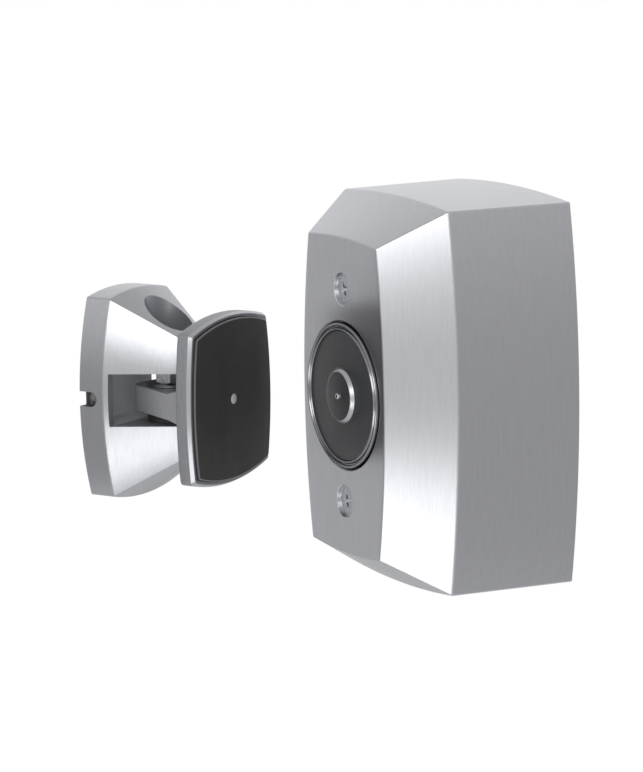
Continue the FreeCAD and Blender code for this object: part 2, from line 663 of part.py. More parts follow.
def circuit_board():
    """Board with the rectifier and terminals, on two spacers above the wall plate."""
    body = new_body("circuit_board", WALL_PLACE)
    board = rectangle(new_sketch(body, offset=BOARD_LOW), "board_width", "board_height", y="-board_offset")
    pad(body, board, "board_thickness")
    holes = new_sketch(body, offset=BOARD_LOW)
    hole = "board_screw_diameter + 2 * shank_clearance"
    for side in ("1", "-1"):
        circle(holes, hole, f"{side} * spacer_spacing / 2", "-board_offset")
    pocket(body, holes)
    spacers = new_body("board_spacers", WALL_PLACE)
    rings = new_sketch(spacers, offset="wall_plate_thickness")
    for side in ("1", "-1"):
        place = (f"{side} * spacer_spacing / 2", "-board_offset")
        hexagon(rings, "spacer_width", *place)
        circle(rings, "board_screw_diameter + 2 * thread_clearance", *place)
    pad(spacers, rings, "spacer_height")
    spots = [(f"{side} * spacer_spacing / 2", "-board_offset") for side in ("1", "-1")]
    pan_screws("board_screws", spots, BOARD_TOP, "board_screw_diameter", "board_screw_head",
               "0.35 * board_screw_head", "board_thickness + 0.8 * spacer_height")


def terminals():
    """Three-way terminal block with its clamping screws, and the rectifier."""
    block = new_body("terminal_block", WALL_PLACE)
    base = new_sketch(block, offset=BOARD_TOP)
    rectangle(base, "3 * terminal_pitch", "terminal_depth", y="-terminal_offset")
    pad(block, base, "terminal_height")
    wells = new_sketch(block, offset=f"{BOARD_TOP} + terminal_height")
    mouths = new_sketch(block, "XZ_Plane", "terminal_offset + terminal_depth / 2")
    for side in ("-1", "0", "1"):
        circle(wells, "terminal_screw_diameter + 2 * shank_clearance", f"{side} * terminal_pitch",
               "-terminal_offset - 0.2 * terminal_depth")
        rectangle(mouths, "0.6 * terminal_pitch", "0.3 * terminal_height", f"{side} * terminal_pitch",
                  f"{BOARD_TOP} + 0.3 * terminal_height")
    pocket(block, wells, "0.4 * terminal_height", forward=False)
    pocket(block, mouths, "0.4 * terminal_depth", forward=False)
    screws = new_body("terminal_screws", WALL_PLACE)
    heads = new_sketch(screws, offset=f"{BOARD_TOP} + 0.6 * terminal_height")
    for side in ("-1", "0", "1"):
        place = (f"{side} * terminal_pitch", "-terminal_offset - 0.2 * terminal_depth")
        circle(heads, "terminal_screw_diameter", *place)
    pad(screws, heads, "0.25 * terminal_height")
    rectifier = new_body("rectifier", WALL_PLACE)
    case = new_sketch(rectifier, offset=BOARD_TOP)
    rectangle(case, "rectifier_width", "rectifier_depth", y="-rectifier_offset")
    pad(rectifier, case, "rectifier_height")
    top = number(f"{BOARD_TOP} + rectifier_height")
    soften(rectifier, lambda edge, middle: near(middle.z, top), "0.15 * rectifier_height", "Chamfer")


def earth_screw():
    """Screw in the wall plate for the earth wire."""
    pan_screws("earth_screw", [("earth_screw_x", "earth_screw_y")], "wall_plate_thickness",
               "earth_screw_diameter", "earth_screw_head", "0.35 * earth_screw_head",
               "wall_plate_thickness - 0.2")


def door_base():
    """Hollow-backed cast base: straight rim, four facets, a slot through both sides for the swivel lug."""
    body = new_body("door_base", DOOR_PLACE)
    bulges = ("base_side_bulge", "base_end_bulge")
    rim = barrel(new_sketch(body), "base_width", "base_height", *bulges)
    pad(body, rim, "rim_depth")
    step = barrel(new_sketch(body, offset="rim_depth"), "base_width", "base_height", *bulges)
    front = barrel(new_sketch(body, offset="base_depth"), "front_width", "front_height",
                   "front_side_bulge", "front_end_bulge")
    loft(body, step, front)
    hollow = barrel(
        new_sketch(body), "base_width - 2 * casting_wall", "base_height - 2 * casting_wall", *bulges)
    pocket(body, hollow, "hollow_depth")
    shelves = new_sketch(body)
    inner_width = "(base_width - 2 * casting_wall + 1.7 * base_side_bulge)"
    for side in ("1", "-1"):
        rectangle(shelves, inner_width, "shelf_wall", y=f"{side} * (slot_height + shelf_wall) / 2")
        circle(shelves, "boss_diameter", y=f"{side} * boss_spacing / 2")
    pad(body, shelves, "hollow_depth")
    window = polygon(new_sketch(body, "YZ_Plane"), [
        ("-slot_height / 2", "window_start"), ("slot_height / 2", "window_start"),
        ("slot_height / 2", "base_depth + 1"), ("-slot_height / 2", "base_depth + 1")])
    pocket(body, window, "2 * base_width + 4 * base_side_bulge", symmetric=True)
    pocket(body, rectangle(new_sketch(body), inner_width, "slot_height"), "window_start + 1")
    web = rectangle(new_sketch(body), f"{inner_width} + casting_wall", "slot_height")
    pad(body, web, "back_web")
    notch = upright_slot(new_sketch(body, "YZ_Plane"), "notch_width", "2 * notch_depth", "0", "0")
    pocket(body, notch, "2 * base_width + 4 * base_side_bulge", symmetric=True)
    pad(body, rectangle(new_sketch(body), inner_width, "notch_width"), "back_web")
    bolts = new_sketch(body)
    for side in ("1", "-1"):
        circle(bolts, "door_bolt_hole", y=f"{side} * boss_spacing / 2")
    pocket(body, bolts, "door_bolt_depth")
    pivot_bores(body)


def pivot_bores(body):
    """Wrench hole above the slot, and the pivot bolt's tapped hole below it."""
    wrench = new_sketch(body, "XZ_Plane", "-slot_height / 2")
    circle(wrench, "wrench_hole_diameter", y="pivot_reach")
    pocket(body, wrench, "base_height", forward=False)
    shank = new_sketch(body, "XZ_Plane", "slot_height / 2")
    circle(shank, "pivot_diameter + 2 * thread_clearance", y="pivot_reach")
    pocket(body, shank, "pivot_hole_depth", forward=True)


def pivot_hardware():
    """Hexagon head bolt put in through the wrench hole, a washer above and below the lug, and its bush."""
    low = "(-slot_height / 2 - pivot_thread_reach)"
    seat = f"({LUG_TOP} + washer_clearance + washer_thickness)"
    shank = "pivot_diameter / 2"
    section = [("0", low), (shank, low), (shank, seat), ("0", seat)]
    bolt = turned_upright("pivot_bolt", DOOR_PLACE, section, "pivot_reach")
    head = hexagon(new_sketch(bolt, "XZ_Plane", f"-{seat}"), "pivot_head_width", y="pivot_reach")
    pad(bolt, head, "pivot_head_height", reverse=True)
    hole = f"({shank} + thread_clearance)"
    washers = turned_upright("pivot_washers", DOOR_PLACE, ring_outline(
        hole, "washer_diameter / 2", f"{seat} - washer_thickness", seat), "pivot_reach")
    lower = polygon(new_sketch(washers, "XY_Plane", "pivot_reach"), ring_outline(
        hole, "washer_diameter / 2", "-slot_height / 2", "lug_low - washer_clearance"))
    revolve(washers, lower)
    turned_upright("pivot_bush", SWIVEL_PLACE, ring_outline(
        f"{shank} + pivot_clearance", f"{shank} + bush_wall", "lug_low", LUG_TOP))


def armature_carrier():
    """Cast swivel: a fan-shaped lug blended into a square tray with crowned sides."""
    body = new_body("armature_carrier", SWIVEL_PLACE)
    swell_top, swell_low = f"({LUG_TOP} + lug_rise)", "(lug_low - lug_swell)"
    start, inner = "washer_diameter / 2", "carrier_back + 1"
    side = polygon(new_sketch(body, "YZ_Plane"), [
        (LUG_TOP, "-lug_back"), (LUG_TOP, start), (swell_top, "carrier_back"),
        ("0.4 * plate_height", "carrier_back"), ("0.4 * plate_height", inner),
        ("-0.4 * plate_height", inner), ("-0.4 * plate_height", "carrier_back"),
        (swell_low, "carrier_back"), ("lug_low", start), ("lug_low", "-lug_back")])
    pad(body, side, "lug_root_width", symmetric=True)
    back, tip_z = number("carrier_back"), number("-lug_back")
    levels = [number(swell_top), number(swell_low)]
    soften(body, lambda edge, middle: near(middle.z, back) and any(near(middle.y, y) for y in levels),
           "lug_root_radius")
    flanks = new_sketch(body, "XZ_Plane")
    for sign in ("", "-"):
        tip, root = f"{sign}lug_tip_width / 2", f"{sign}lug_root_width / 2"
        polygon(flanks, [
            (tip, "-lug_back"), (root, "carrier_back"), (f"1.1 * {root}", "carrier_back"),
            (f"1.1 * {root}", "-lug_back - 1"), (tip, "-lug_back - 1")])
    pocket(body, flanks, "plate_height", symmetric=True)
    tip_x = number("lug_tip_width / 2")
    soften(body, lambda edge, middle: near(middle.z, tip_z) and near(abs(middle.x), tip_x), "lug_tip_radius")
    bulges = ("plate_side_bulge", "plate_end_bulge")
    plate = barrel(new_sketch(body, offset="carrier_back"), "plate_width", "plate_height", *bulges)
    pad(body, plate, "carrier_thickness - plate_bevel_depth")
    inset, bevel_start = "2 * plate_bevel_inset", f"{CARRIER_FRONT} - plate_bevel_depth"
    edge_low = barrel(new_sketch(body, offset=bevel_start), "plate_width", "plate_height", *bulges)
    edge_top = barrel(
        new_sketch(body, offset=CARRIER_FRONT), f"plate_width - {inset}", f"plate_height - {inset}", *bulges)
    loft(body, edge_low, edge_top)
    tray = barrel(new_sketch(body, offset=CARRIER_FRONT), f"plate_width - {TRAY_INSET}",
                  f"plate_height - {TRAY_INSET}", *bulges)
    pocket(body, tray, "tray_depth", forward=False)
    bore = new_sketch(body, "XZ_Plane", f"-({LUG_TOP} + 1)")
    circle(bore, "pivot_diameter + 2 * bush_wall")
    pocket(body, bore, "lug_thickness + 2", forward=True)
    rivet = circle(new_sketch(body, offset=TRAY_FLOOR), "rivet_diameter")
    pocket(body, rivet, "rivet_reach", forward=False)


def armature_plate():
    """Soft steel plate that the magnet holds, riveted into its tray."""
    body = new_body("armature_plate", SWIVEL_PLACE)
    bulges = ("plate_side_bulge", "plate_end_bulge")
    gap = f"({TRAY_INSET} + 2 * armature_gap)"
    sizes_low = (f"plate_width - {gap}", f"plate_height - {gap}")
    plate = barrel(new_sketch(body, offset=TRAY_FLOOR), *sizes_low, *bulges)
    pad(body, plate, "tray_depth + armature_rise - armature_bevel")
    bevel_low = barrel(new_sketch(body, offset=f"{ARMATURE_FRONT} - armature_bevel"), *sizes_low, *bulges)
    bevel_top = barrel(new_sketch(body, offset=ARMATURE_FRONT),
                       *(f"{size} - 2 * armature_bevel" for size in sizes_low), *bulges)
    loft(body, bevel_low, bevel_top)
    pocket(body, circle(new_sketch(body, offset=TRAY_FLOOR), "rivet_diameter"))
    rivet = new_body("armature_rivet", SWIVEL_PLACE)
    shank = circle(new_sketch(rivet, offset=f"{TRAY_FLOOR} - rivet_reach"), "rivet_diameter - fit_gap")
    pad(rivet, shank, "rivet_reach + tray_depth + armature_rise")


def check_document():
    """Stops if any object failed or any sub-part has no valid shape."""
    doc.recompute()
    for thing in doc.Objects:
        if "Invalid" in thing.State or "Error" in thing.State:
            raise RuntimeError(f"{thing.Label} is {thing.State}")
    for node in nodes:
        if node.Shape.isNull() or not node.Shape.isValid() or not node.Shape.Solids:
            raise RuntimeError(f"{node.Label} has no valid solid")


def write_parts():
    """Writes each sub-part to its own file and prints its solids and volume."""
    os.makedirs("parts", exist_ok=True)
    for node in nodes:
        node.Shape.exportStep(f"parts/{node.Label}.step")
        print(f"{node.Label}: {len(node.Shape.Solids)} solids, {node.Shape.Volume:.1f} mm3")


fill_sheet()
for build in (
    housing, cover_screws, wall_plate, magnet_bracket, bracket_screws, magnet_cup, pole_core, coil,
    face_filler, release_pin, pin_spring, magnet_bolt, lead_grommet, circuit_board, terminals,
    earth_screw, door_base, pivot_hardware, armature_carrier, armature_plate,
):
    build()
check_document()
write_parts()
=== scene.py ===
"""Looks of an electromagnetic door holder: a magnet in a housing for the wall, and an armature for the door.

Each unit is drawn in its own frame in millimetres, X across, Y up, Z out from the wall or door, and placed.
"""
import math

import bmesh
import bpy
import numpy as np
from mathutils import Matrix, Vector


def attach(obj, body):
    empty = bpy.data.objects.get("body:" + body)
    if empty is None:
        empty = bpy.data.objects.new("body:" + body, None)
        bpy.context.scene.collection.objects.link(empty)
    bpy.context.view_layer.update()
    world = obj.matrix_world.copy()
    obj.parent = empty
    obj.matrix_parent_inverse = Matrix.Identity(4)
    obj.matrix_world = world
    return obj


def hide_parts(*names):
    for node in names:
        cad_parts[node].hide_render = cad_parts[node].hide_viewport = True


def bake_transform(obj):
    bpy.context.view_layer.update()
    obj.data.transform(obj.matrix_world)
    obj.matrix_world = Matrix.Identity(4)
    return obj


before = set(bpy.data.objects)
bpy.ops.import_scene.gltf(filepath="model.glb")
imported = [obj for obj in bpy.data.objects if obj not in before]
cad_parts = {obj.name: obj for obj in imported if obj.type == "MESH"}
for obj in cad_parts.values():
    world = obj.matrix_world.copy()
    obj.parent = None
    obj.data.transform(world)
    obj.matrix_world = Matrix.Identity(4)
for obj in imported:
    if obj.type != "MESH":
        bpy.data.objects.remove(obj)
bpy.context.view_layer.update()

# Camera: a long lens about 1.6 m away, well to the right of the magnet's axis and a little above it. It looks
# past the door unit to the side of the housing.
camera_turn, camera_lift, camera_roll = (math.radians(angle) for angle in (62.241, 9.896, -0.873))
camera_aim = Vector((-0.081069, -0.034215, -0.011810))
camera_distance, focal_length, sensor_width = 1.64149, 209.55, 36
camera_back = Vector((math.sin(camera_turn) * math.cos(camera_lift),
                      -math.cos(camera_turn) * math.cos(camera_lift), math.sin(camera_lift)))
level_right = Vector((math.cos(camera_turn), math.sin(camera_turn), 0))
level_up = camera_back.cross(level_right)
camera_right = level_right * math.cos(camera_roll) + level_up * math.sin(camera_roll)
camera_up = level_up * math.cos(camera_roll) - level_right * math.sin(camera_roll)
lens = bpy.data.cameras.new("camera")
lens.lens, lens.sensor_width, lens.sensor_fit = focal_length, sensor_width, "AUTO"
camera = bpy.data.objects.new("camera", lens)
camera.matrix_world = Matrix.Translation(camera_aim + camera_distance * camera_back) @ Matrix(
    (camera_right, camera_up, camera_back)).transposed().to_4x4()
bpy.context.scene.collection.objects.link(camera)
bpy.context.scene.camera = camera
bpy.context.scene.view_settings.view_transform = "Standard"


# Studio: a white backdrop behind the units that fades to a pale grey room, a little lighter above and behind
# the camera. Two softboxes stand on the camera's side, one high and one low, over a pale floor.
def linear(code):
    """An sRGB hex colour as the linear colour that a shader takes."""
    parts = [int(code[i:i + 2], 16) / 255 for i in (1, 3, 5)]
    return [c / 12.92 if c <= 0.04045 else ((c + 0.055) / 1.055) ** 2.4 for c in parts] + [1.0]


def add_node(tree, kind, inputs=None, **settings):
    """Adds a node; inputs gives its sockets, by name or number, a value, another node's output or a list."""
    made = tree.nodes.new(kind)
    for name, setting in settings.items():
        setattr(made, name, setting)
    for socket, given in (inputs or {}).items():
        sources = given if isinstance(given, list) else [given]
        if isinstance(sources[0], bpy.types.NodeSocket):
            for source in sources:
                tree.links.new(source, made.inputs[socket])
        else:
            made.inputs[socket].default_value = given
    return made


def new_finish(name):
    """A new material, its empty node tree, and the Object coordinates that its patterns follow."""
    made = bpy.data.materials.new(name)
    made.use_nodes = True
    made.node_tree.nodes.clear()
    return made, made.node_tree, add_node(made.node_tree, "ShaderNodeTexCoord").outputs["Object"]


world = bpy.data.worlds.new("studio")
bpy.context.scene.world = world
world.use_nodes = True
room = world.node_tree
room.nodes.clear()
toward = add_node(room, "ShaderNodeTexCoord").outputs["Generated"]
height = add_node(room, "ShaderNodeSeparateXYZ", {0: toward})
facing, behind, beside = (
    add_node(room, "ShaderNodeVectorMath", {0: toward, 1: middle}, operation="DOT_PRODUCT")
    for middle in (-camera_back, (0.776, -0.606, -0.17), (-0.08, -0.90, 0.43)))
# Each part of the room starts and ends at some height, or at some closeness to its middle, and changes the
# level from low to high between them
ramps = {}
for name, source, start, end, low, high in (
        ("ceiling", height.outputs["Z"], -0.1, 0.32, 0.39, 0.60),
        ("camera_wall", behind.outputs["Value"], 0.707, 0.978, 0.0, 0.26),
        ("high_wall", beside.outputs["Value"], 0.88, 0.99, 0.0, 0.19),
        ("backdrop", facing.outputs["Value"], 0.49, 0.81, 0.0, 1.0),
        ("backdrop_top", height.outputs["Z"], 0.5, 0.68, 1.0, 0.0),
        ("backdrop_foot", height.outputs["Z"], -0.42, -0.26, 0.0, 1.0)):
    ramps[name] = add_node(room, "ShaderNodeMapRange", {
        "Value": source, "From Min": start, "From Max": end, "To Min": low, "To Max": high},
        interpolation_type="SMOOTHSTEP").outputs[0]
near_walls = add_node(room, "ShaderNodeMath", {0: ramps["camera_wall"], 1: ramps["high_wall"]},
                      operation="ADD")
walls = add_node(room, "ShaderNodeMath", {0: ramps["ceiling"], 1: near_walls.outputs[0]}, operation="ADD")
backdrop = add_node(room, "ShaderNodeMath", {0: ramps["backdrop"], 1: ramps["backdrop_top"]},
                    operation="MULTIPLY")
whole_backdrop = add_node(room, "ShaderNodeMath", {0: backdrop.outputs[0], 1: ramps["backdrop_foot"]},
                          operation="MULTIPLY")
seen = add_node(room, "ShaderNodeMix", {0: whole_backdrop.outputs[0], 2: walls.outputs[0], 3: 1.0},
                data_type="FLOAT")
# Matt surfaces get an even fill light, mirror-like ones the room as drawn, and the camera a white ground
fill_level = 0.7
ray = add_node(room, "ShaderNodeLightPath")
mirrored_ray = add_node(room, "ShaderNodeMath", {
    0: ray.outputs["Is Camera Ray"], 1: ray.outputs["Is Glossy Ray"]}, operation="ADD")
any_ray = add_node(room, "ShaderNodeMath", {
    0: mirrored_ray.outputs[0], 1: ray.outputs["Is Transmission Ray"]}, operation="ADD", use_clamp=True)
level = add_node(room, "ShaderNodeMix", {0: any_ray.outputs[0], 2: fill_level, 3: seen.outputs[0]},
                 data_type="FLOAT")
ground = add_node(room, "ShaderNodeMix", {0: ray.outputs["Is Camera Ray"], 2: level.outputs[0], 3: 1.0},
                  data_type="FLOAT")
glow = add_node(room, "ShaderNodeBackground", {"Color": linear("#FFFFFF"), "Strength": ground.outputs[0]})
add_node(room, "ShaderNodeOutputWorld", {"Surface": glow.outputs[0]})

units_middle = Vector((-0.02, -0.06, 0.0))


def softbox(name, toward_lamp, distance, width, tall, radiance):
    """A rectangular lamp that looks at the units from a direction; radiance 1 shows as white in a mirror."""
    lamp = bpy.data.lights.new(name, "AREA")
    lamp.shape, lamp.size, lamp.size_y = "RECTANGLE", width, tall
    lamp.energy = radiance * math.pi * width * tall
    holder = bpy.data.objects.new(name, lamp)
    away = Vector(toward_lamp).normalized()
    aimed = away.to_track_quat("Z", "Y").to_matrix().to_4x4()
    holder.matrix_world = Matrix.Translation(units_middle + distance * away) @ aimed
    holder.visible_camera = False
    bpy.context.scene.collection.objects.link(holder)


softbox("softbox_high", (0.80, -0.60, 0.395), distance=1.10, width=0.62, tall=0.42, radiance=2.6)
softbox("softbox_low", (0.766, -0.643, -0.53), distance=0.62, width=0.30, tall=0.22, radiance=1.95)

# White paper: matt and uncoated. It fades to the white ground towards its rim, but only where the camera
# itself looks at it.
floor_radius, floor_middle = 0.9, units_middle - Vector((0, 0, 0.62))
paper, roll, paper_place = new_finish("white_paper_floor")
from_middle = add_node(roll, "ShaderNodeVectorMath", {0: paper_place, 1: floor_middle}, operation="DISTANCE")
paper_fade = add_node(roll, "ShaderNodeMapRange", {
    "Value": from_middle.outputs["Value"], "From Min": 0.4, "From Max": 0.8}, interpolation_type="SMOOTHSTEP")
paper_ray = add_node(roll, "ShaderNodeLightPath")
seen_fade = add_node(roll, "ShaderNodeMath", {
    0: paper_fade.outputs[0], 1: paper_ray.outputs["Is Camera Ray"]}, operation="MULTIPLY")
paper_shader = add_node(roll, "ShaderNodeBsdfPrincipled", {"Base Color": linear("#F1F1F2"), "Roughness": 0.9})
paper_glow = add_node(roll, "ShaderNodeEmission", {"Color": linear("#FFFFFF"), "Strength": 1.0})
paper_mix = add_node(roll, "ShaderNodeMixShader", {
    0: seen_fade.outputs[0], 1: paper_shader.outputs[0], 2: paper_glow.outputs[0]})
add_node(roll, "ShaderNodeOutputMaterial", {"Surface": paper_mix.outputs[0]})
floor_shape = bmesh.new()
bmesh.ops.create_circle(floor_shape, cap_ends=True, segments=96, radius=floor_radius,
                        matrix=Matrix.Translation(floor_middle))
floor_mesh = bpy.data.meshes.new("floor")
floor_shape.to_mesh(floor_mesh)
floor_shape.free()
floor_mesh.materials.append(paper)
floor = bpy.data.objects.new("floor", floor_mesh)
bpy.context.scene.collection.objects.link(floor)


# Wall plate: flat sheet steel, zinc plated, with slots for the wall box's screws and a hole for the wires.
# The magnet's bracket, the connection board and the earth wire are screwed to it.
def stand(x, y, facing):
    """Place of a unit whose back stands at x, y and whose front faces that many degrees round from +X."""
    turn = math.radians(facing)
    across, out = (-math.sin(turn), math.cos(turn), 0), (math.cos(turn), math.sin(turn), 0)
    axes = Matrix((across, (0, 0, 1), out)).transposed().to_4x4()
    return Matrix.Scale(0.001, 4) @ Matrix.Translation((x, y, 0)) @ axes


def dress(name, material):
    """Gives a node of the CAD model its material."""
    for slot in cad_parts[name].material_slots:
        slot.material = material


def end_finish(tree, settings, tint, rough=None, relief=None):
    """Ends a finish with its shader. Tint, roughness and relief each start with the pattern that they follow.

    Tint goes on with two levels of the pattern and their colours. Roughness goes on with its values at a low
    and a high level, which are 0 and 1 unless given. Relief goes on with its strength and its height in
    millimetres.
    """
    pattern, *stops = tint
    ramp = add_node(tree, "ShaderNodeValToRGB", {0: pattern})
    for element, (position, code) in zip(ramp.color_ramp.elements, stops):
        element.position, element.color = position, linear(code)
    inputs = {"Base Color": ramp.outputs[0], **settings}
    if rough:
        pattern, at_low, at_high, low, high = (*rough, 0.0, 1.0)[:5]
        roughness = add_node(tree, "ShaderNodeMapRange", {
            "Value": pattern, "From Min": low, "From Max": high, "To Min": at_low, "To Max": at_high})
        inputs["Roughness"] = roughness.outputs[0]
    if relief:
        pattern, strength, relief_height = relief
        bump = add_node(tree, "ShaderNodeBump", {
            "Height": pattern, "Strength": strength, "Distance": relief_height * 0.001})
        inputs["Normal"] = bump.outputs[0]
    shader = add_node(tree, "ShaderNodeBsdfPrincipled", inputs)
    add_node(tree, "ShaderNodeOutputMaterial", {"Surface": shader.outputs[0]})


wall_unit = stand(0, 0, -90)

# Zinc-plated sheet steel: rolled, stamped and plated in a barrel. The eye sees a dull bluish silver with
# faint clouds and rolling lines.
sheet_steel, sheet, sheet_place = new_finish("zinc_plated_sheet_steel")
# Clouds 6 mm across, and rolling lines 0.8 mm apart along the height
sheet_clouds = add_node(sheet, "ShaderNodeTexNoise", {
    "Vector": sheet_place, "Scale": 1000 / 6, "Detail": 3.0})
sheet_lines_place = add_node(sheet, "ShaderNodeMapping", {
    "Vector": sheet_place, "Scale": (1000 / 0.8, 1000 / 0.8, 1000 / 30)})
sheet_lines = add_node(sheet, "ShaderNodeTexNoise", {
    "Vector": sheet_lines_place.outputs[0], "Scale": 1.0, "Detail": 2.0})
sheet_mix = add_node(sheet, "ShaderNodeMix", {0: 0.4, 2: sheet_clouds.outputs[0], 3: sheet_lines.outputs[0]},
                     data_type="FLOAT")
end_finish(sheet, {"Metallic": 1.0}, tint=(sheet_mix.outputs[0], (0.35, "#A4A8AC"), (0.65, "#C0C3C6")),
           rough=(sheet_mix.outputs[0], 0.48, 0.3), relief=(sheet_lines.outputs[0], 0.2, 0.03))
dress("wall_plate", sheet_steel)


# Circuit board: the connection board below the magnet, glass cloth laminate under a green solder lacquer. It
# stands on two nylon spacers. The eye would see a glossy green with a fine even weave.
board_laminate, laminate, laminate_place = new_finish("green_lacquered_laminate")
# Glass cloth with a thread every 0.6 mm each way, seen through the lacquer
laminate_threads = [add_node(laminate, "ShaderNodeTexWave", {
    "Vector": laminate_place, "Scale": 2 * math.pi / 20 / 0.0006, "Distortion": 0.3},
    wave_type="BANDS", bands_direction=axis) for axis in ("X", "Z")]
laminate_weave = add_node(laminate, "ShaderNodeMath", {
    0: laminate_threads[0].outputs[1], 1: laminate_threads[1].outputs[1]}, operation="MULTIPLY")
end_finish(laminate, {"Coat Weight": 0.5},
           tint=(laminate_weave.outputs[0], (0.0, "#0E4527"), (1.0, "#1A6238")),
           rough=(laminate_weave.outputs[0], 0.3, 0.4))
dress("circuit_board", board_laminate)

# Natural nylon: moulded, undyed. The eye sees a warm milky white with a soft shine and faint flow marks.
natural_nylon, nylon, nylon_place = new_finish("natural_moulded_nylon")
# Flow marks 4 mm across
nylon_flow = add_node(nylon, "ShaderNodeTexNoise", {
    "Vector": nylon_place, "Scale": 1000 / 4, "Detail": 2.0, "Distortion": 0.8})
end_finish(nylon, {"IOR": 1.53}, tint=(nylon_flow.outputs[0], (0.35, "#D8D2BF"), (0.65, "#E6E1D1")),
           rough=(nylon_flow.outputs[0], 0.38, 0.5))
dress("board_spacers", natural_nylon)


# Terminal block and rectifier: the block clamps the supply wires and is moulded polyamide, soldered to the
# board beside the black rectifier.
# Moulded polyamide: dyed through. The eye would see a dull blue green with a fine even grain.
block_polyamide, polyamide, polyamide_place = new_finish("blue_green_moulded_polyamide")
# Spark-eroded mould texture, 0.4 mm grain
polyamide_grain = add_node(polyamide, "ShaderNodeTexNoise", {
    "Vector": polyamide_place, "Scale": 1000 / 0.4, "Detail": 2.0})
end_finish(polyamide, {"IOR": 1.53},
           tint=(polyamide_grain.outputs[0], (0.35, "#11404E"), (0.65, "#184F60")),
           rough=(polyamide_grain.outputs[0], 0.36, 0.5), relief=(polyamide_grain.outputs[0], 0.3, 0.03))
dress("terminal_block", block_polyamide)

# Black moulding epoxy: pressed round the rectifier's chip. The eye sees a dull black with a fine even grain.
rectifier_epoxy, moulding, moulding_place = new_finish("black_moulding_epoxy")
# Grain 0.3 mm across
moulding_grain = add_node(moulding, "ShaderNodeTexNoise", {
    "Vector": moulding_place, "Scale": 1000 / 0.3, "Detail": 2.0})
end_finish(moulding, {"IOR": 1.55},
           tint=(moulding_grain.outputs[0], (0.35, "#1A1A1B"), (0.65, "#262627")),
           rough=(moulding_grain.outputs[0], 0.5, 0.62))
dress("rectifier", rectifier_epoxy)


# Board screws: two pan head cross-recess screws of zinc-plated steel that hold the board, its spacers and the
# wall plate together. The same tree makes all the set's cross-recess screws.
def bake(piece):
    """Puts the result of the piece's modifiers in its mesh and removes them."""
    graph = bpy.context.evaluated_depsgraph_get()
    mesh = bpy.data.meshes.new_from_object(piece.evaluated_get(graph), depsgraph=graph)
    piece.modifiers.clear()
    piece.data = mesh
    mesh.name = piece.name


def surface(piece, material=None, ease=0.0, angle=32):
    """Eases the edges left by cuts, smooths the shading, and gives a piece of one material that material."""
    if ease:
        edge = piece.modifiers.new("edge", "BEVEL")
        edge.width, edge.segments, edge.miter_outer = ease * 0.001, 2, "MITER_ARC"
        edge.limit_method, edge.angle_limit = "ANGLE", math.radians(40)
        bake(piece)
    piece.data.shade_smooth()
    piece.data.set_sharp_from_angle(angle=math.radians(angle))
    weights = piece.modifiers.new("weights", "WEIGHTED_NORMAL")
    weights.keep_sharp, weights.weight, weights.mode = True, 50, "FACE_AREA"
    bake(piece)
    if material:
        piece.data.materials.clear()
        piece.data.materials.append(material)
        piece.data.polygons.foreach_set("material_index", [0] * len(piece.data.polygons))


screw_tree = bpy.data.node_groups.new("cross_recess_screws", "GeometryNodeTree")
for kind, names in (
        ("Geometry", ("Spots",)), ("Rotation", ("Facing",)), ("Material", ("Finish",)),
        ("Float", ("Top width", "Under width", "Head height", "Shank width", "Shank length", "Recess width",
                   "Recess depth"))):
    for name in names:
        screw_tree.interface.new_socket(name=name, in_out="INPUT", socket_type="NodeSocket" + kind)
screw_tree.interface.new_socket(name="Screws", in_out="OUTPUT", socket_type="NodeSocketGeometry")
size = add_node(screw_tree, "NodeGroupInput").outputs
whole_length = add_node(screw_tree, "ShaderNodeMath", {0: size["Head height"], 1: size["Shank length"]},
                        operation="ADD")
# Lengths that follow from the sizes: the head and the shank hang from the screw's top and overlap, and the
# recess is a cross with narrow wings, cut down to a cone that is blunt below and wider than the cross above
part = {name: add_node(screw_tree, "ShaderNodeMath", {0: source, 1: share}, operation="MULTIPLY").outputs[0]
        for name, source, share in (
            ("top radius", size["Top width"], 0.5), ("under radius", size["Under width"], 0.5),
            ("shank radius", size["Shank width"], 0.49), ("shank run", whole_length.outputs[0], 0.9),
            ("head low", size["Head height"], -1.0), ("shank low", whole_length.outputs[0], -1.0),
            ("wing width", size["Recess width"], 0.24), ("wing height", size["Recess depth"], 2.0),
            ("blunt end", size["Recess width"], 0.15), ("flared end", size["Recess width"], 0.675),
            ("cone depth", size["Recess depth"], 1.5), ("cone low", size["Recess depth"], -1.0))}
turned_parts = []
for corners, above, below, run, low in (
        (48, "top radius", "under radius", size["Head height"], "head low"),
        (32, "shank radius", "shank radius", part["shank run"], "shank low"),
        (32, "flared end", "blunt end", part["cone depth"], "cone low")):
    cone = add_node(screw_tree, "GeometryNodeMeshCone", {
        "Vertices": corners, "Radius Top": part[above], "Radius Bottom": part[below], "Depth": run})
    lowered = add_node(screw_tree, "ShaderNodeCombineXYZ", {"Z": part[low]})
    turned_parts.append(add_node(screw_tree, "GeometryNodeTransform", {
        "Geometry": cone.outputs["Mesh"], "Translation": lowered.outputs[0]}).outputs[0])
head, shank, taper = turned_parts
wings = []
for x, y in ((size["Recess width"], part["wing width"]), (part["wing width"], size["Recess width"])):
    wing_size = add_node(screw_tree, "ShaderNodeCombineXYZ", {"X": x, "Y": y, "Z": part["wing height"]})
    wings.append(add_node(screw_tree, "GeometryNodeMeshCube", {"Size": wing_size.outputs[0]}).outputs["Mesh"])
blank = add_node(screw_tree, "GeometryNodeMeshBoolean", {"Mesh 2": [head, shank]}, operation="UNION",
                 solver="EXACT")
cross = add_node(screw_tree, "GeometryNodeMeshBoolean", {"Mesh 2": wings}, operation="UNION", solver="EXACT")
drive = add_node(screw_tree, "GeometryNodeMeshBoolean", {"Mesh 2": [cross.outputs["Mesh"], taper]},
                 operation="INTERSECT", solver="EXACT")
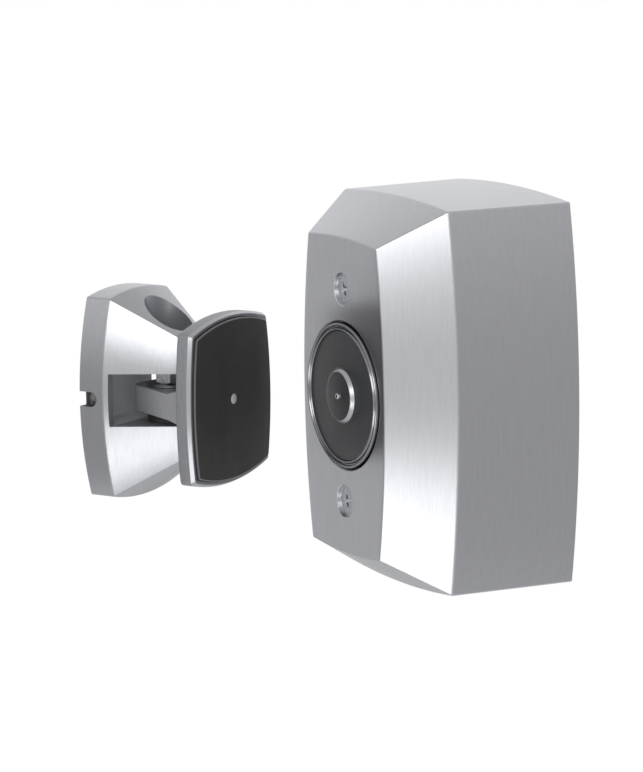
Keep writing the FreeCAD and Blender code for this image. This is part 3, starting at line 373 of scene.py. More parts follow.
screw = add_node(screw_tree, "GeometryNodeMeshBoolean", {
    "Mesh 1": blank.outputs["Mesh"], "Mesh 2": drive.outputs["Mesh"]}, operation="DIFFERENCE", solver="EXACT")
own_turn = add_node(screw_tree, "GeometryNodeInputNamedAttribute", {"Name": "turn"}, data_type="FLOAT")
turn_place = add_node(screw_tree, "ShaderNodeCombineXYZ", {"Z": own_turn.outputs[0]})
turn_rotation = add_node(screw_tree, "FunctionNodeEulerToRotation", {0: turn_place.outputs[0]})
set_turn = add_node(screw_tree, "FunctionNodeRotateRotation", {
    0: size["Facing"], 1: turn_rotation.outputs[0]}, rotation_space="LOCAL")
each = add_node(screw_tree, "GeometryNodeInstanceOnPoints", {
    "Points": size["Spots"], "Instance": screw.outputs["Mesh"], "Rotation": set_turn.outputs[0]})
real = add_node(screw_tree, "GeometryNodeRealizeInstances", {0: each.outputs[0]})
finished = add_node(screw_tree, "GeometryNodeSetMaterial", {0: real.outputs[0], "Material": size["Finish"]})
add_node(screw_tree, "NodeGroupOutput", {0: finished.outputs[0]})


def screw_set(name, spots, turns, material, **sizes):
    """A mesh of like screws, their head tops at spots of the wall unit, each turned by so many degrees."""
    mesh = bpy.data.meshes.new(name)
    mesh.from_pydata([wall_unit @ Vector(spot) for spot in spots], [], [])
    own = mesh.attributes.new("turn", "FLOAT", "POINT")
    own.data.foreach_set("value", [math.radians(turn) for turn in turns])
    piece = bpy.data.objects.new(name, mesh)
    bpy.context.scene.collection.objects.link(piece)
    maker = piece.modifiers.new("screws", "NODES")
    maker.node_group = screw_tree
    sockets = {item.name: item.identifier for item in screw_tree.interface.items_tree
               if item.in_out == "INPUT"}
    for key, length in sizes.items():
        maker[sockets[key.capitalize().replace("_", " ")]] = length * 0.001
    maker[sockets["Facing"]] = (math.radians(90), 0.0, 0.0)
    maker[sockets["Finish"]] = material
    bake(piece)
    return piece


# Zinc-plated steel: bright passivated plating on a cold-headed screw. The eye sees a bluish silver, a little
# mottled, glossy on the head and dull where the driver has been.
plated_steel, plated, plated_place = new_finish("bright_zinc_plated_steel")
# Mottling 1.2 mm across
plated_scale = add_node(plated, "ShaderNodeMapping", {
    "Vector": plated_place, "Scale": (1000 / 1.2, 1000 / 1.2, 1000 / 1.2)})
plated_mottle = add_node(plated, "ShaderNodeTexNoise", {
    "Vector": plated_scale.outputs[0], "Scale": 1.0, "Detail": 3.0, "Roughness": 0.6})
end_finish(plated, {"Metallic": 1.0},
           tint=(plated_mottle.outputs[0], (0.3, "#B4B8BE"), (0.7, "#D0D2D5")),
           rough=(plated_mottle.outputs[0], 0.34, 0.2, 0.3, 0.7),
           relief=(plated_mottle.outputs[0], 0.3, 0.02))

dress("terminal_screws", plated_steel)
board_screw_x, board_height, board_screw_top = 13.5, -25, 10.49
board_screws = screw_set(
    "board_screw_pair", [(side * board_screw_x, board_height, board_screw_top) for side in (1, -1)], (35, 70),
    plated_steel, top_width=4.7, under_width=5.4, head_height=1.89, shank_width=2.9, shank_length=5.6,
    recess_width=3.0, recess_depth=1.1)
surface(board_screws, plated_steel, ease=0.25)
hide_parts("board_screws")
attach(board_screws, "fixed")


# Earth screw: pan head screw of yellow brass, turned from bar, that clamps the earth wire. It sits in a
# tapped hole of the wall plate.
# Yellow brass: left bare. The eye sees a warm gold with duller tarnished clouds.
yellow_brass, brass, brass_place = new_finish("turned_yellow_brass")
# Tarnish clouds 2 mm across
brass_tarnish = add_node(brass, "ShaderNodeTexNoise", {
    "Vector": brass_place, "Scale": 1000 / 2, "Detail": 3.0})
end_finish(brass, {"Metallic": 1.0},
           tint=(brass_tarnish.outputs[0], (0.35, "#A98842"), (0.65, "#D0AE63")),
           rough=(brass_tarnish.outputs[0], 0.4, 0.22))

earth_screw_place = (17, -3, 4.66)
earth_screw = screw_set(
    "brass_earth_screw", [earth_screw_place], (15,), yellow_brass, top_width=6.7, under_width=7.6,
    head_height=2.66, shank_width=3.9, shank_length=1.8, recess_width=4.2, recess_depth=1.5)
surface(earth_screw, yellow_brass, ease=0.35)
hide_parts("earth_screw")
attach(earth_screw, "fixed")


# Magnet cup: turned low-carbon steel, nickel plated, that carries the magnet's field round the coil. Its rim
# stands 1 mm proud of the face as two polished beads with a groove between them.
def round_ring(radius, depth, y=0.0, count=96):
    """Ring of points round a circle."""
    around = np.arange(count) * 2 * math.pi / count
    columns = [radius * np.cos(around), y + radius * np.sin(around), np.full(count, float(depth))]
    return np.stack(columns, axis=1)


def stacked(name, rings, place, joined=False):
    """A closed mesh through a stack of rings, with its ends capped, or joined to each other."""
    shape = bmesh.new()
    rows = [[shape.verts.new(place @ Vector(point)) for point in ring] for ring in rings]
    if joined:
        rows.append(rows[0])
    else:
        for ring, row in ((rings[0], rows[0]), (rings[-1], rows[-1])):
            if np.ptp(ring, axis=0).max() > 1e-6:
                shape.faces.new(row)
    for low, high in zip(rows, rows[1:]):
        for i in range(len(low)):
            j = (i + 1) % len(low)
            shape.faces.new((low[i], low[j], high[j], high[i]))
    bmesh.ops.remove_doubles(shape, verts=shape.verts, dist=1e-7)
    bmesh.ops.recalc_face_normals(shape, faces=shape.faces)
    mesh = bpy.data.meshes.new(name)
    shape.to_mesh(mesh)
    shape.free()
    piece = bpy.data.objects.new(name, mesh)
    bpy.context.scene.collection.objects.link(piece)
    return piece


def turned(name, profile, place, y=0.0, count=96, joined=False):
    """A turned shape from the radius and depth of its profile's corners; y is the height of its axis."""
    return stacked(name, [round_ring(radius, depth, y, count) for radius, depth in profile], place, joined)


def carve(piece, tools, operation="DIFFERENCE"):
    """Cuts tools out of a piece, or joins them to it, and deletes them. A cut takes its tool's material."""
    for tool in tools:
        cut = piece.modifiers.new("cut", "BOOLEAN")
        cut.object, cut.operation, cut.solver, cut.material_mode = tool, operation, "EXACT", "TRANSFER"
        bake(piece)
    for tool in tools:
        bpy.data.objects.remove(tool)


def bead(outer, inner, top):
    """Half section of a bead with straight flanks, from its outer foot over its crown to its inner foot."""
    # Steps inwards and down from the crown's height
    flank = [(0.0, 0.62), (0.40, 0.10), (0.46, 0.03), (0.54, 0.0)]
    return [(outer - across, top - drop) for across, drop in flank] + [
        (inner + across, top - drop) for across, drop in reversed(flank)]


# Nickel-plated turned steel: lathe marks round the axis under a bright plating. The eye sees sharp bright
# lines on the crowns of the beads and dark between them.
nickel_steel, nickel, nickel_place = new_finish("nickel_plated_turned_steel")
# Lathe marks 0.25 mm apart: the ring wave repeats every 2 pi / 20 of its scaled radius
nickel_marks = add_node(nickel, "ShaderNodeTexWave", {
    "Vector": nickel_place, "Scale": 2 * math.pi / 20 / 0.00025, "Distortion": 0.6,
    "Detail": 2.0}, wave_type="RINGS", rings_direction="Y")
nickel_tangent = add_node(nickel, "ShaderNodeTangent", direction_type="RADIAL", axis="Y")
end_finish(nickel, {"Metallic": 1.0, "Anisotropic": 0.3, "Anisotropic Rotation": 0.25,
                    "Tangent": nickel_tangent.outputs[0]},
           tint=(nickel_marks.outputs[1], (0.0, "#8F9093"), (1.0, "#A3A4A7")),
           rough=(nickel_marks.outputs[1], 0.26, 0.19), relief=(nickel_marks.outputs[1], 0.25, 0.01))

face_depth = 68.4
rim_top = face_depth + 1.0
cup_back, cup_floor, cup_chamfer = 44.5, 49.5, 0.5
cup_radius, groove_outer, groove_inner, coil_room_radius, bolt_way_radius = 25.4, 24.15, 23.75, 22.5, 3.2
groove_floor = rim_top - 0.9
lead_hole_radius, lead_hole_height = 3.5, -16
cup_profile = [(bolt_way_radius, cup_back), (cup_radius - cup_chamfer, cup_back)]
cup_profile += [(cup_radius, cup_back + cup_chamfer)] + bead(cup_radius, groove_outer, rim_top)
cup_profile += [(groove_outer, groove_floor), (groove_inner, groove_floor)]
cup_profile += bead(groove_inner, coil_room_radius, rim_top)
cup_profile += [(coil_room_radius, cup_floor), (bolt_way_radius, cup_floor)]
magnet_cup = turned("turned_magnet_cup", cup_profile, wall_unit, count=128, joined=True)
lead_hole = turned("lead_hole", [(lead_hole_radius, cup_back - 4.5), (lead_hole_radius, cup_floor + 5.5)],
                   wall_unit, y=lead_hole_height, count=32)
carve(magnet_cup, [lead_hole])
surface(magnet_cup, nickel_steel, angle=40)
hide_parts("magnet_cup")
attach(magnet_cup, "fixed")


# Coil: enamelled copper wire wound on a nylon bobbin, which fills the cup round its pole. The eye would see
# fine turns of reddish metal under clear enamel.
winding_copper, copper, copper_place = new_finish("enamelled_copper_winding")
# One turn of wire every 0.5 mm along the bobbin
copper_turns = add_node(copper, "ShaderNodeTexWave", {
    "Vector": copper_place, "Scale": 2 * math.pi / 20 / 0.0005, "Distortion": 0.15},
    wave_type="BANDS", bands_direction="Y")
end_finish(copper, {"Metallic": 1.0, "Coat Weight": 0.6},
           tint=(copper_turns.outputs[1], (0.0, "#7A3517"), (1.0, "#C87A4A")),
           rough=(copper_turns.outputs[1], 0.5, 0.3), relief=(copper_turns.outputs[1], 0.5, 0.2))
dress("coil_winding", winding_copper)
dress("coil_former", natural_nylon)


# Pole core: the magnet's centre pole, turned from soft iron and ground flat, with a chamfered edge. It stands
# a little proud of the rim, so that the armature always meets it first.
def eased(rings, reaches):
    """The stack of rings with every corner between its first and last ring rounded, by one reach for each."""
    made = [rings[0]]
    for before, corner, after, reach in zip(rings, rings[1:], rings[2:], reaches):
        if reach <= 0:
            made.append(corner)
            continue
        ends = []
        for other in (before, after):
            step = other - corner
            run = np.maximum(np.linalg.norm(step, axis=1, keepdims=True), 1e-9)
            ends.append(corner + step * np.minimum(reach / run, 0.48))
        for t in np.linspace(0, 1, 4):
            made.append((1 - t) ** 2 * ends[0] + 2 * t * (1 - t) * corner + t * t * ends[1])
    return made + [rings[-1]]


# Soft iron: turned, then ground flat by use. The eye sees a silvery grey disc with faint rings and rub marks.
pole_iron, pole, pole_place = new_finish("ground_soft_iron_pole")
# Facing marks 0.4 mm apart round the axis, and rub marks from the armature 2.5 mm across
pole_marks = add_node(pole, "ShaderNodeTexWave", {
    "Vector": pole_place, "Scale": 2 * math.pi / 20 / 0.0004, "Distortion": 1.2, "Detail": 2.0},
    wave_type="RINGS", rings_direction="Y")
pole_rubs = add_node(pole, "ShaderNodeTexNoise", {
    "Vector": pole_place, "Scale": 1000 / 2.5, "Detail": 4.0, "Roughness": 0.6})
pole_mix = add_node(pole, "ShaderNodeMix", {0: 0.6, 2: pole_marks.outputs[1], 3: pole_rubs.outputs[0]},
                    data_type="FLOAT")
end_finish(pole, {"Metallic": 1.0}, tint=(pole_mix.outputs[0], (0.2, "#8F9093"), (0.8, "#A4A5A8")),
           rough=(pole_mix.outputs[0], 0.38, 0.26), relief=(pole_marks.outputs[1], 0.2, 0.01))


def like_finish(finish, name, dark=None, light=None, metallic=None):
    """A copy of a finish under its own name, with other colours or another share of bare metal."""
    made = finish.copy()
    made.name = name
    nodes = made.node_tree.nodes
    if dark:
        for element, code in zip(nodes["Color Ramp"].color_ramp.elements, (dark, light)):
            element.color = linear(code)
    if metallic is not None:
        nodes["Principled BSDF"].inputs["Metallic"].default_value = metallic
    return made


# Polished chamfer: the pole's edge, dressed bright so that it doesn't mark the armature. The eye sees a soft
# bright crescent.
bright_iron = like_finish(pole_iron, "polished_iron_chamfer", "#B4B5B8", "#C6C7CA")

pole_top = rim_top + 1.1
pole_radius, chamfer_width, chamfer_drop = 9.525, 0.925, 1.3
pin_way_radius, pin_land, spring_room_radius = 1.12, 4.0, 2.32
bolt_hole_radius, bolt_hole_end, spring_room_middle = 3.0, cup_floor + 9.0, 60
# The profile starts and ends in the middle of the spring's room, so that every corner is eased
pole_core = stacked("turned_pole_core", eased([round_ring(radius, depth) for radius, depth in (
    (spring_room_radius, spring_room_middle), (spring_room_radius, bolt_hole_end),
    (bolt_hole_radius, bolt_hole_end), (bolt_hole_radius, cup_floor), (pole_radius, cup_floor),
    (pole_radius, pole_top - chamfer_drop), (pole_radius - chamfer_width, pole_top),
    (pin_way_radius, pole_top), (pin_way_radius, pole_top - pin_land),
    (spring_room_radius, pole_top - pin_land), (spring_room_radius, spring_room_middle))],
    [0, 0, 0, 0.2, 0.2, 0.2, 0.12, 0, 0])[:-1], wall_unit, joined=True)
pole_core.data.materials.append(pole_iron)
pole_core.data.materials.append(bright_iron)
# The chamfer is all that leans forwards without facing straight ahead
for face in pole_core.data.polygons:
    face.material_index = int(-0.95 < face.normal.y < -0.25)
surface(pole_core, angle=40)
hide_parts("pole_core")
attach(pole_core, "fixed")


# Release pin: small sprung pin of stainless steel at the pole's middle. It pushes the armature off when the
# current stops, so its end is domed and polished by wear.
# Stainless steel: polished by rubbing. The eye sees a bright dot with fine scuffs.
pin_steel, pin, pin_place = new_finish("worn_stainless_pin")
# Scuffs 0.3 mm across
pin_scuffs = add_node(pin, "ShaderNodeTexNoise", {
    "Vector": pin_place, "Scale": 1000 / 0.3, "Detail": 3.0})
end_finish(pin, {"Metallic": 1.0}, tint=(pin_scuffs.outputs[0], (0.0, "#BDBEC0"), (1.0, "#E2E2E3")),
           rough=(pin_scuffs.outputs[0], 0.14, 0.3))

pin_radius, pin_dome, pin_travel = 1.05, 0.6, 0.9
collar_radius, collar_length, collar_chamfer = 2.25, 1.6, 0.15
dome_foot, collar_front = pole_top + pin_travel - pin_dome, pole_top - pin_land
collar_back = collar_front - collar_length
dome = [(pin_radius * math.cos(a), dome_foot + pin_dome * math.sin(a))
        for a in np.linspace(0, math.pi / 2, 7)]
release_pin = turned("turned_release_pin", [
    (0, collar_back), (collar_radius - collar_chamfer, collar_back),
    (collar_radius, collar_back + collar_chamfer), (collar_radius, collar_front - collar_chamfer),
    (collar_radius - collar_chamfer, collar_front), (pin_radius, collar_front)] + dome, wall_unit, count=40)
surface(release_pin, pin_steel, angle=40)
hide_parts("release_pin")
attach(release_pin, "pin")


# Pin spring: wound from hard-drawn spring steel wire, behind the release pin in the bore of the pole. The
# lock washer under the magnet's bolt is of the same steel.
# Hard-drawn steel: pulled through dies and left oily. The eye sees a mid grey, streaked and softly shining.
drawn_steel, drawn, drawn_place = new_finish("hard_drawn_spring_steel")
# Drawing marks and oil film 0.4 mm across
drawn_marks = add_node(drawn, "ShaderNodeTexNoise", {
    "Vector": drawn_place, "Scale": 1000 / 0.4, "Detail": 3.0})
end_finish(drawn, {"Metallic": 1.0}, tint=(drawn_marks.outputs[0], (0.35, "#77787B"), (0.65, "#9C9DA0")),
           rough=(drawn_marks.outputs[0], 0.42, 0.26))

spring_tree = bpy.data.node_groups.new("wound_spring", "GeometryNodeTree")
for kind, names in (("Float", ("Wire width", "Coil radius", "Coil length", "Turns")),
                    ("Vector", ("Foot",)), ("Material", ("Finish",))):
    for name in names:
        spring_tree.interface.new_socket(name=name, in_out="INPUT", socket_type="NodeSocket" + kind)
spring_tree.interface.new_socket(name="Spring", in_out="OUTPUT", socket_type="NodeSocketGeometry")
given = add_node(spring_tree, "NodeGroupInput").outputs
wire_radius = add_node(spring_tree, "ShaderNodeMath", {0: given["Wire width"], 1: 0.5}, operation="MULTIPLY")
coil_line = add_node(spring_tree, "GeometryNodeCurveSpiral", {
    "Resolution": 28, "Rotations": given["Turns"], "Start Radius": given["Coil radius"],
    "End Radius": given["Coil radius"], "Height": given["Coil length"]})
wire_section = add_node(spring_tree, "GeometryNodeCurvePrimitiveCircle", {
    "Resolution": 12, "Radius": wire_radius.outputs[0]})
wire = add_node(spring_tree, "GeometryNodeCurveToMesh", {
    "Curve": coil_line.outputs[0], "Profile Curve": wire_section.outputs[0], "Fill Caps": True})
seated = add_node(spring_tree, "GeometryNodeTransform", {
    "Geometry": wire.outputs[0], "Translation": given["Foot"], "Rotation": (math.pi / 2, 0.0, 0.0)})
whole_spring = add_node(spring_tree, "GeometryNodeRealizeInstances", {0: seated.outputs[0]})
finished_spring = add_node(spring_tree, "GeometryNodeSetMaterial", {
    0: whole_spring.outputs[0], "Material": given["Finish"]})
add_node(spring_tree, "NodeGroupOutput", {0: finished_spring.outputs[0]})

pin_spring = bpy.data.objects.new("wound_pin_spring", bpy.data.meshes.new("wound_pin_spring"))
bpy.context.scene.collection.objects.link(pin_spring)
winder = pin_spring.modifiers.new("spring", "NODES")
winder.node_group = spring_tree
spring_sizes = {"Wire width": 0.0005, "Coil radius": 0.002, "Coil length": 0.00586, "Turns": 4.0,
                "Foot": (0.0, -0.05877, 0.0), "Finish": drawn_steel}
for item in spring_tree.interface.items_tree:
    if item.in_out == "INPUT":
        winder[item.identifier] = spring_sizes[item.name]
bake(pin_spring)
surface(pin_spring, drawn_steel, angle=60)
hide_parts("pin_spring")
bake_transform(pin_spring)


# Face filler: epoxy poured over the coil between rim and pole, and cured a little below them. It creeps up
# both walls in a small meniscus.
# Filled epoxy: poured and cured. The eye sees a dark grey with a soft uneven shine.
potting_epoxy, epoxy, epoxy_place = new_finish("dark_potting_epoxy")
# Filler specks 0.5 mm across and slow waves of the poured surface 9 mm across
epoxy_specks = add_node(epoxy, "ShaderNodeTexNoise", {
    "Vector": epoxy_place, "Scale": 1000 / 0.5, "Detail": 2.0})
epoxy_waves = add_node(epoxy, "ShaderNodeTexNoise", {
    "Vector": epoxy_place, "Scale": 1000 / 9.0, "Detail": 1.0})
end_finish(epoxy, {"IOR": 1.55}, tint=(epoxy_specks.outputs[0], (0.35, "#3A3B3D"), (0.65, "#424345")),
           rough=(epoxy_waves.outputs[0], 0.34, 0.46), relief=(epoxy_waves.outputs[0], 0.3, 0.2))

filler_back, filler_top, filler_inner, filler_outer = 66.3, rim_top - 0.5, 9.58, 22.45
face_filler = turned("poured_face_filler", [
    (filler_inner, filler_back), (filler_outer, filler_back), (filler_outer, filler_top),
    (filler_outer - 0.25, filler_top - 0.16), (filler_outer - 0.75, filler_top - 0.24),
    (filler_inner + 0.72, filler_top - 0.24), (filler_inner + 0.22, filler_top - 0.16),
    (filler_inner, filler_top)], wall_unit, joined=True)
surface(face_filler, potting_epoxy)
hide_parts("face_filler")
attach(face_filler, "fixed")


# Magnet bracket: sheet steel strip, folded into two feet and zinc plated as the wall plate is. One bolt with
# a lock washer holds the cup and the pole to it, and the coil's leads pass both through a rubber grommet.
dress("magnet_bracket", sheet_steel)
dress("magnet_bolt", plated_steel)
dress("lock_washer", drawn_steel)

# Black rubber: moulded, with a dull bloom. The eye sees a soft near black without reflections.
grommet_rubber, rubber, rubber_place = new_finish("black_moulded_rubber")
# Bloom in patches 1.5 mm across
rubber_bloom = add_node(rubber, "ShaderNodeTexNoise", {
    "Vector": rubber_place, "Scale": 1000 / 1.5, "Detail": 3.0})
end_finish(rubber, {"IOR": 1.52}, tint=(rubber_bloom.outputs[0], (0.35, "#19191A"), (0.65, "#28282A")),
           rough=(rubber_bloom.outputs[0], 0.65, 0.85))
dress("lead_grommet", grommet_rubber)


# Bracket screws: four pan head screws of zinc-plated steel, through the bracket's feet into tapped holes of
# the wall plate.
foot_screw_x, foot_screw_y, foot_screw_top = 29.5, 36, 6.9
bracket_screws = screw_set(
    "bracket_screw_set",
    [(x, y, foot_screw_top) for x in (foot_screw_x, -foot_screw_x) for y in (foot_screw_y, -foot_screw_y)],
    (10, 55, 80, 30), plated_steel, top_width=6.5, under_width=7.4, head_height=2.4, shank_width=3.9,
    shank_length=4.3, recess_width=4.2, recess_depth=1.4)
surface(bracket_screws, plated_steel, ease=0.35)
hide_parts("bracket_screws")
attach(bracket_screws, "fixed")


# Housing: aluminium casting with barrel sides, four bevels and a flat face, open at the wall and about 3 mm
# thick. It is brushed up and down and clear anodised. The magnet shows through its round opening, and two
# recesses take its screws.
def side_points(start, end, bulge, ease, steps):
    """Points along one side of an outline, an arc that swells to its right and stops short of the corners."""
    start, end = np.array(start, float), np.array(end, float)
    chord = end - start
    span = np.linalg.norm(chord)
    along, outward = chord / span, np.array((chord[1], -chord[0])) / span
    if bulge < 1e-6:
        return [start + along * d for d in np.linspace(ease, span - ease, steps + 1)]
    radius = (span ** 2 / 4 + bulge ** 2) / (2 * bulge)
    centre = (start + end) / 2 + outward * (bulge - radius)
    half = math.asin(span / 2 / radius) - ease / radius
    return [centre + radius * (math.cos(a) * outward + math.sin(a) * along)
            for a in np.linspace(-half, half, steps + 1)]


def box_ring(width, low, high, depth, bulges=(0, 0), ease=0.5, steps=(26, 14)):
    """Ring of points round a four-sided outline with crowned sides, its corners eased."""
    right = width / 2
    corners = [np.array(c, float) for c in ((right, low), (right, high), (-right, high), (-right, low))]
    points = []
    for i in range(4):
        corner = corners[(i + 1) % 4]
        side = side_points(corners[i], corner, bulges[i % 2], ease, steps[i % 2])
        after = side_points(corner, corners[(i + 2) % 4], bulges[(i + 1) % 2], ease, 1)[0]
        points += side
        points += [(1 - t) ** 2 * side[-1] + 2 * t * (1 - t) * corner + t * t * after
                   for t in (0.25, 0.5, 0.75)]
    return np.array([(x, y, depth) for x, y in points])


def barrel_ring(size, bulges, depth, ease=0.5):
    """Ring of points round a barrel outline about the unit's axis, its size taken between its corners."""
    width, height = size
    return box_ring(width, -height / 2, height / 2, depth, bulges, ease)


# Satin aluminium: cast, brushed along its height and clear anodised. The eye sees fine upright lines of
# slightly different brightness, reflections smeared sideways, and a cool light grey.
satin_aluminium, satin, satin_place = new_finish("satin_brushed_aluminium")
# Lines 0.7 mm apart and about 14 mm long, where the real ones are nearer 0.2 mm apart, so that they show
upright_lines = add_node(satin, "ShaderNodeMapping", {
    "Vector": satin_place, "Scale": (1000 / 0.7, 1000 / 0.7, 1000 / 14)})
# On the top and bottom the lines run from wall to front
level_lines = add_node(satin, "ShaderNodeMapping", {
    "Vector": satin_place, "Scale": (1000 / 0.7, 1000 / 14, 1000 / 0.7)})
satin_normal = add_node(satin, "ShaderNodeNewGeometry")
satin_axis = add_node(satin, "ShaderNodeSeparateXYZ", {0: satin_normal.outputs["Normal"]})
satin_rise = add_node(satin, "ShaderNodeMath", {0: satin_axis.outputs["Z"]}, operation="ABSOLUTE")
satin_flat = add_node(satin, "ShaderNodeMath", {0: satin_rise.outputs[0], 1: 0.8}, operation="GREATER_THAN")
line_place = add_node(satin, "ShaderNodeMix", {
    0: satin_flat.outputs[0], 4: upright_lines.outputs[0], 5: level_lines.outputs[0]}, data_type="VECTOR")
fine_lines = add_node(satin, "ShaderNodeTexNoise", {
    "Vector": line_place.outputs[1], "Scale": 1.0, "Detail": 3.0, "Roughness": 0.6})
satin_around = add_node(satin, "ShaderNodeTangent", direction_type="RADIAL", axis="Z")
satin_tangent = add_node(satin, "ShaderNodeMix", {
    0: satin_flat.outputs[0], 4: satin_around.outputs[0], 5: (1.0, 0.0, 0.0)},
    data_type="VECTOR", name="smear")
end_finish(satin, {"Metallic": 1.0, "Anisotropic": 0.55, "Tangent": satin_tangent.outputs[1]},
           tint=(fine_lines.outputs[0], (0.3, "#CBCCD0"), (0.7, "#D2D3D7")),
           rough=(fine_lines.outputs[0], 0.33, 0.31, 0.3, 0.7), relief=(fine_lines.outputs[0], 0.1, 0.02))

# Widths and heights between corners, and how far the sides and the ends swell past them
back_size, edge_size, back_bulges = np.array((77.5, 133.0)), np.array((73.9, 133.0)), (5.7, 1.9)
face_size, face_bulges = np.array((48.9, 108.1)), (4.8, 1.3)
edge_depth, both_walls, lip = 46.9, 6.0, 6.0
inside_size, inside_depth = face_size - 2.4, face_depth - 4.0
housing = stacked("housing_casting", eased([
    barrel_ring(inside_size - lip, face_bulges, inside_depth, 0.4),
    barrel_ring(inside_size, face_bulges, inside_depth),
    barrel_ring(edge_size - both_walls, back_bulges, edge_depth - 1.5),
    barrel_ring(back_size - both_walls, back_bulges, 0), barrel_ring(back_size, back_bulges, 0),
    barrel_ring(edge_size, back_bulges, edge_depth), barrel_ring(face_size, face_bulges, face_depth),
    barrel_ring(face_size - lip, face_bulges, face_depth, 0.4)], [1.2, 1.2, 0.3, 0.3, 0.7, 0.55]), wall_unit)
opening_radius, opening_chamfer = 26.0, 0.3
before_face, behind_face = 70, 60
opening = turned("opening", [
    (opening_radius + opening_chamfer, before_face), (opening_radius + opening_chamfer, face_depth),
    (opening_radius, face_depth - opening_chamfer), (opening_radius, behind_face)], wall_unit, count=128)
# Each recess has a small chamfer, a flat floor, a cone for the screw's head and a hole for its shank
screw_height, recess_radius, recess_chamfer, recess_floor = 37.15, 5.7, 0.25, face_depth - 1.0
cone_radius, shank_hole_radius, cone_end = 4.75, 2.65, face_depth - 3.1
recess_profile = [
    (recess_radius + recess_chamfer, before_face), (recess_radius + recess_chamfer, face_depth),
    (recess_radius, face_depth - recess_chamfer), (recess_radius, recess_floor), (cone_radius, recess_floor),
    (shank_hole_radius, cone_end), (shank_hole_radius, behind_face)]
recesses = [turned("recess", recess_profile, wall_unit, y=side * screw_height, count=64) for side in (1, -1)]
carve(housing, [opening] + recesses)
surface(housing, satin_aluminium)
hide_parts("housing")
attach(housing, "fixed")


# Cover screws: two countersunk cross-recess screws of zinc-plated steel. They reach through the face of the
# housing and hold it on the magnet's bracket.
cover_screws = screw_set(
    "cover_screw_pair", [(0, side * screw_height, recess_floor) for side in (1, -1)], (20, 12), plated_steel,
    top_width=9.4, under_width=4.8, head_height=2.3, shank_width=4.8, shank_length=27.1, recess_width=5.0,
    recess_depth=1.7)
surface(cover_screws, plated_steel, ease=0.12)
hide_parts("cover_screws")
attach(cover_screws, "fixed")


# Door base: small casting in the housing's style, with a straight rim, four facets and a slot through both
# sides. Its hollow back has two tapped bosses, and a round hole in the upper facet lets the pivot bolt and
# its wrench in.
door_x, door_y, door_yaw, pivot_out = -55.5, -128.3, 28.95, 22.5
door_unit = stand(door_x, door_y, door_yaw)

# Cast aluminium skin: the grey oxide-dulled surface that sand leaves in the slot, where no brush reaches. Its
# colour is darker than the brushed outside, partly the duller skin and partly painted shade of the slot's
# inside. The eye sees a fine dull grain.
cast_skin_and_shade, skin, skin_place = new_finish("as_cast_skin_and_painted_shade")
# Sand grain 0.5 mm across
skin_grain = add_node(skin, "ShaderNodeTexNoise", {
    "Vector": skin_place, "Scale": 1000 / 0.5, "Detail": 3.0, "Roughness": 0.6})
end_finish(skin, {"Metallic": 1.0}, tint=(skin_grain.outputs[0], (0.3, "#A1A2A5"), (0.7, "#B3B4B7")),
           rough=(skin_grain.outputs[0], 0.66, 0.54), relief=(skin_grain.outputs[0], 0.4, 0.05))

# Satin aluminium of the door base: brushed and anodised as the housing is, but from a duller batch. The eye
# sees the same upright lines, a shade darker.
base_aluminium = like_finish(satin_aluminium, "satin_door_base_aluminium", "#BBBCC0", "#C3C4C8")
# On its top and bottom, too, the smear runs across the unit
base_aluminium.node_tree.nodes["smear"].inputs[5].default_value = (-0.484, 0.875, 0.0)

rim_size, rim_bulges, rim_depth = np.array((34.2, 69.5)), (5.6, 2.0), 9.9
flat_size, flat_bulges, flat_depth = np.array((11.6, 39.4)), (3.0, 0.5), 35.0
door_base = stacked("door_base_casting", eased([
    barrel_ring(rim_size - 3.0, rim_bulges, 0, 0.3), barrel_ring(rim_size, rim_bulges, 0),
    barrel_ring(rim_size, rim_bulges, rim_depth), barrel_ring(flat_size, flat_bulges, flat_depth, 0.4),
    barrel_ring(flat_size - (3.6, 3.4), flat_bulges, flat_depth, 0.3)], [0.25, 0.45, 0.6]), door_unit)


def pivot_ring(radius, height, out=pivot_out, count=72):
    """Ring of points round an upright axis that far out; radius and height are one value or one for each."""
    around = np.arange(count) * 2 * math.pi / count
    radius, height = np.broadcast_to(radius, count), np.broadcast_to(height, count)
    return np.stack([radius * np.cos(around), height, out + radius * np.sin(around)], axis=1)


def block(name, width, low, high, back, front):
    """A plain box of the door unit to cut with, across by height by depth."""
    return stacked(name, [box_ring(width, low, high, depth, ease=0.01, steps=(1, 1))
                          for depth in (back, front)], door_unit)


# The hollow is an even 3 mm inside the rim. It leaves the slot's two webs, two bosses for the door bolts and
# the metal between the webs standing. What cuts or joins runs past the casting on all its open sides.
below, past, across = -2, 12, 60
wall, slot_half, hollow_depth, boss_radius, boss_height = 3.0, 9.2, 10.0, 5.0, 24
hollow = stacked("hollow", [barrel_ring(rim_size - 2 * wall, rim_bulges, depth, 1.0)
                            for depth in (-1, hollow_depth)], door_unit)
webs = [block("web", across, *sorted((side * slot_half, side * (slot_half + wall))), below, past)
        for side in (1, -1)]
bosses = [turned("boss", [(boss_radius, below), (boss_radius, past)], door_unit, y=side * boss_height,
                 count=48) for side in (1, -1)]
middle = block("middle", across, -slot_half - 0.1, slot_half + 0.1, below, past)
carve(hollow, webs + bosses + [middle])
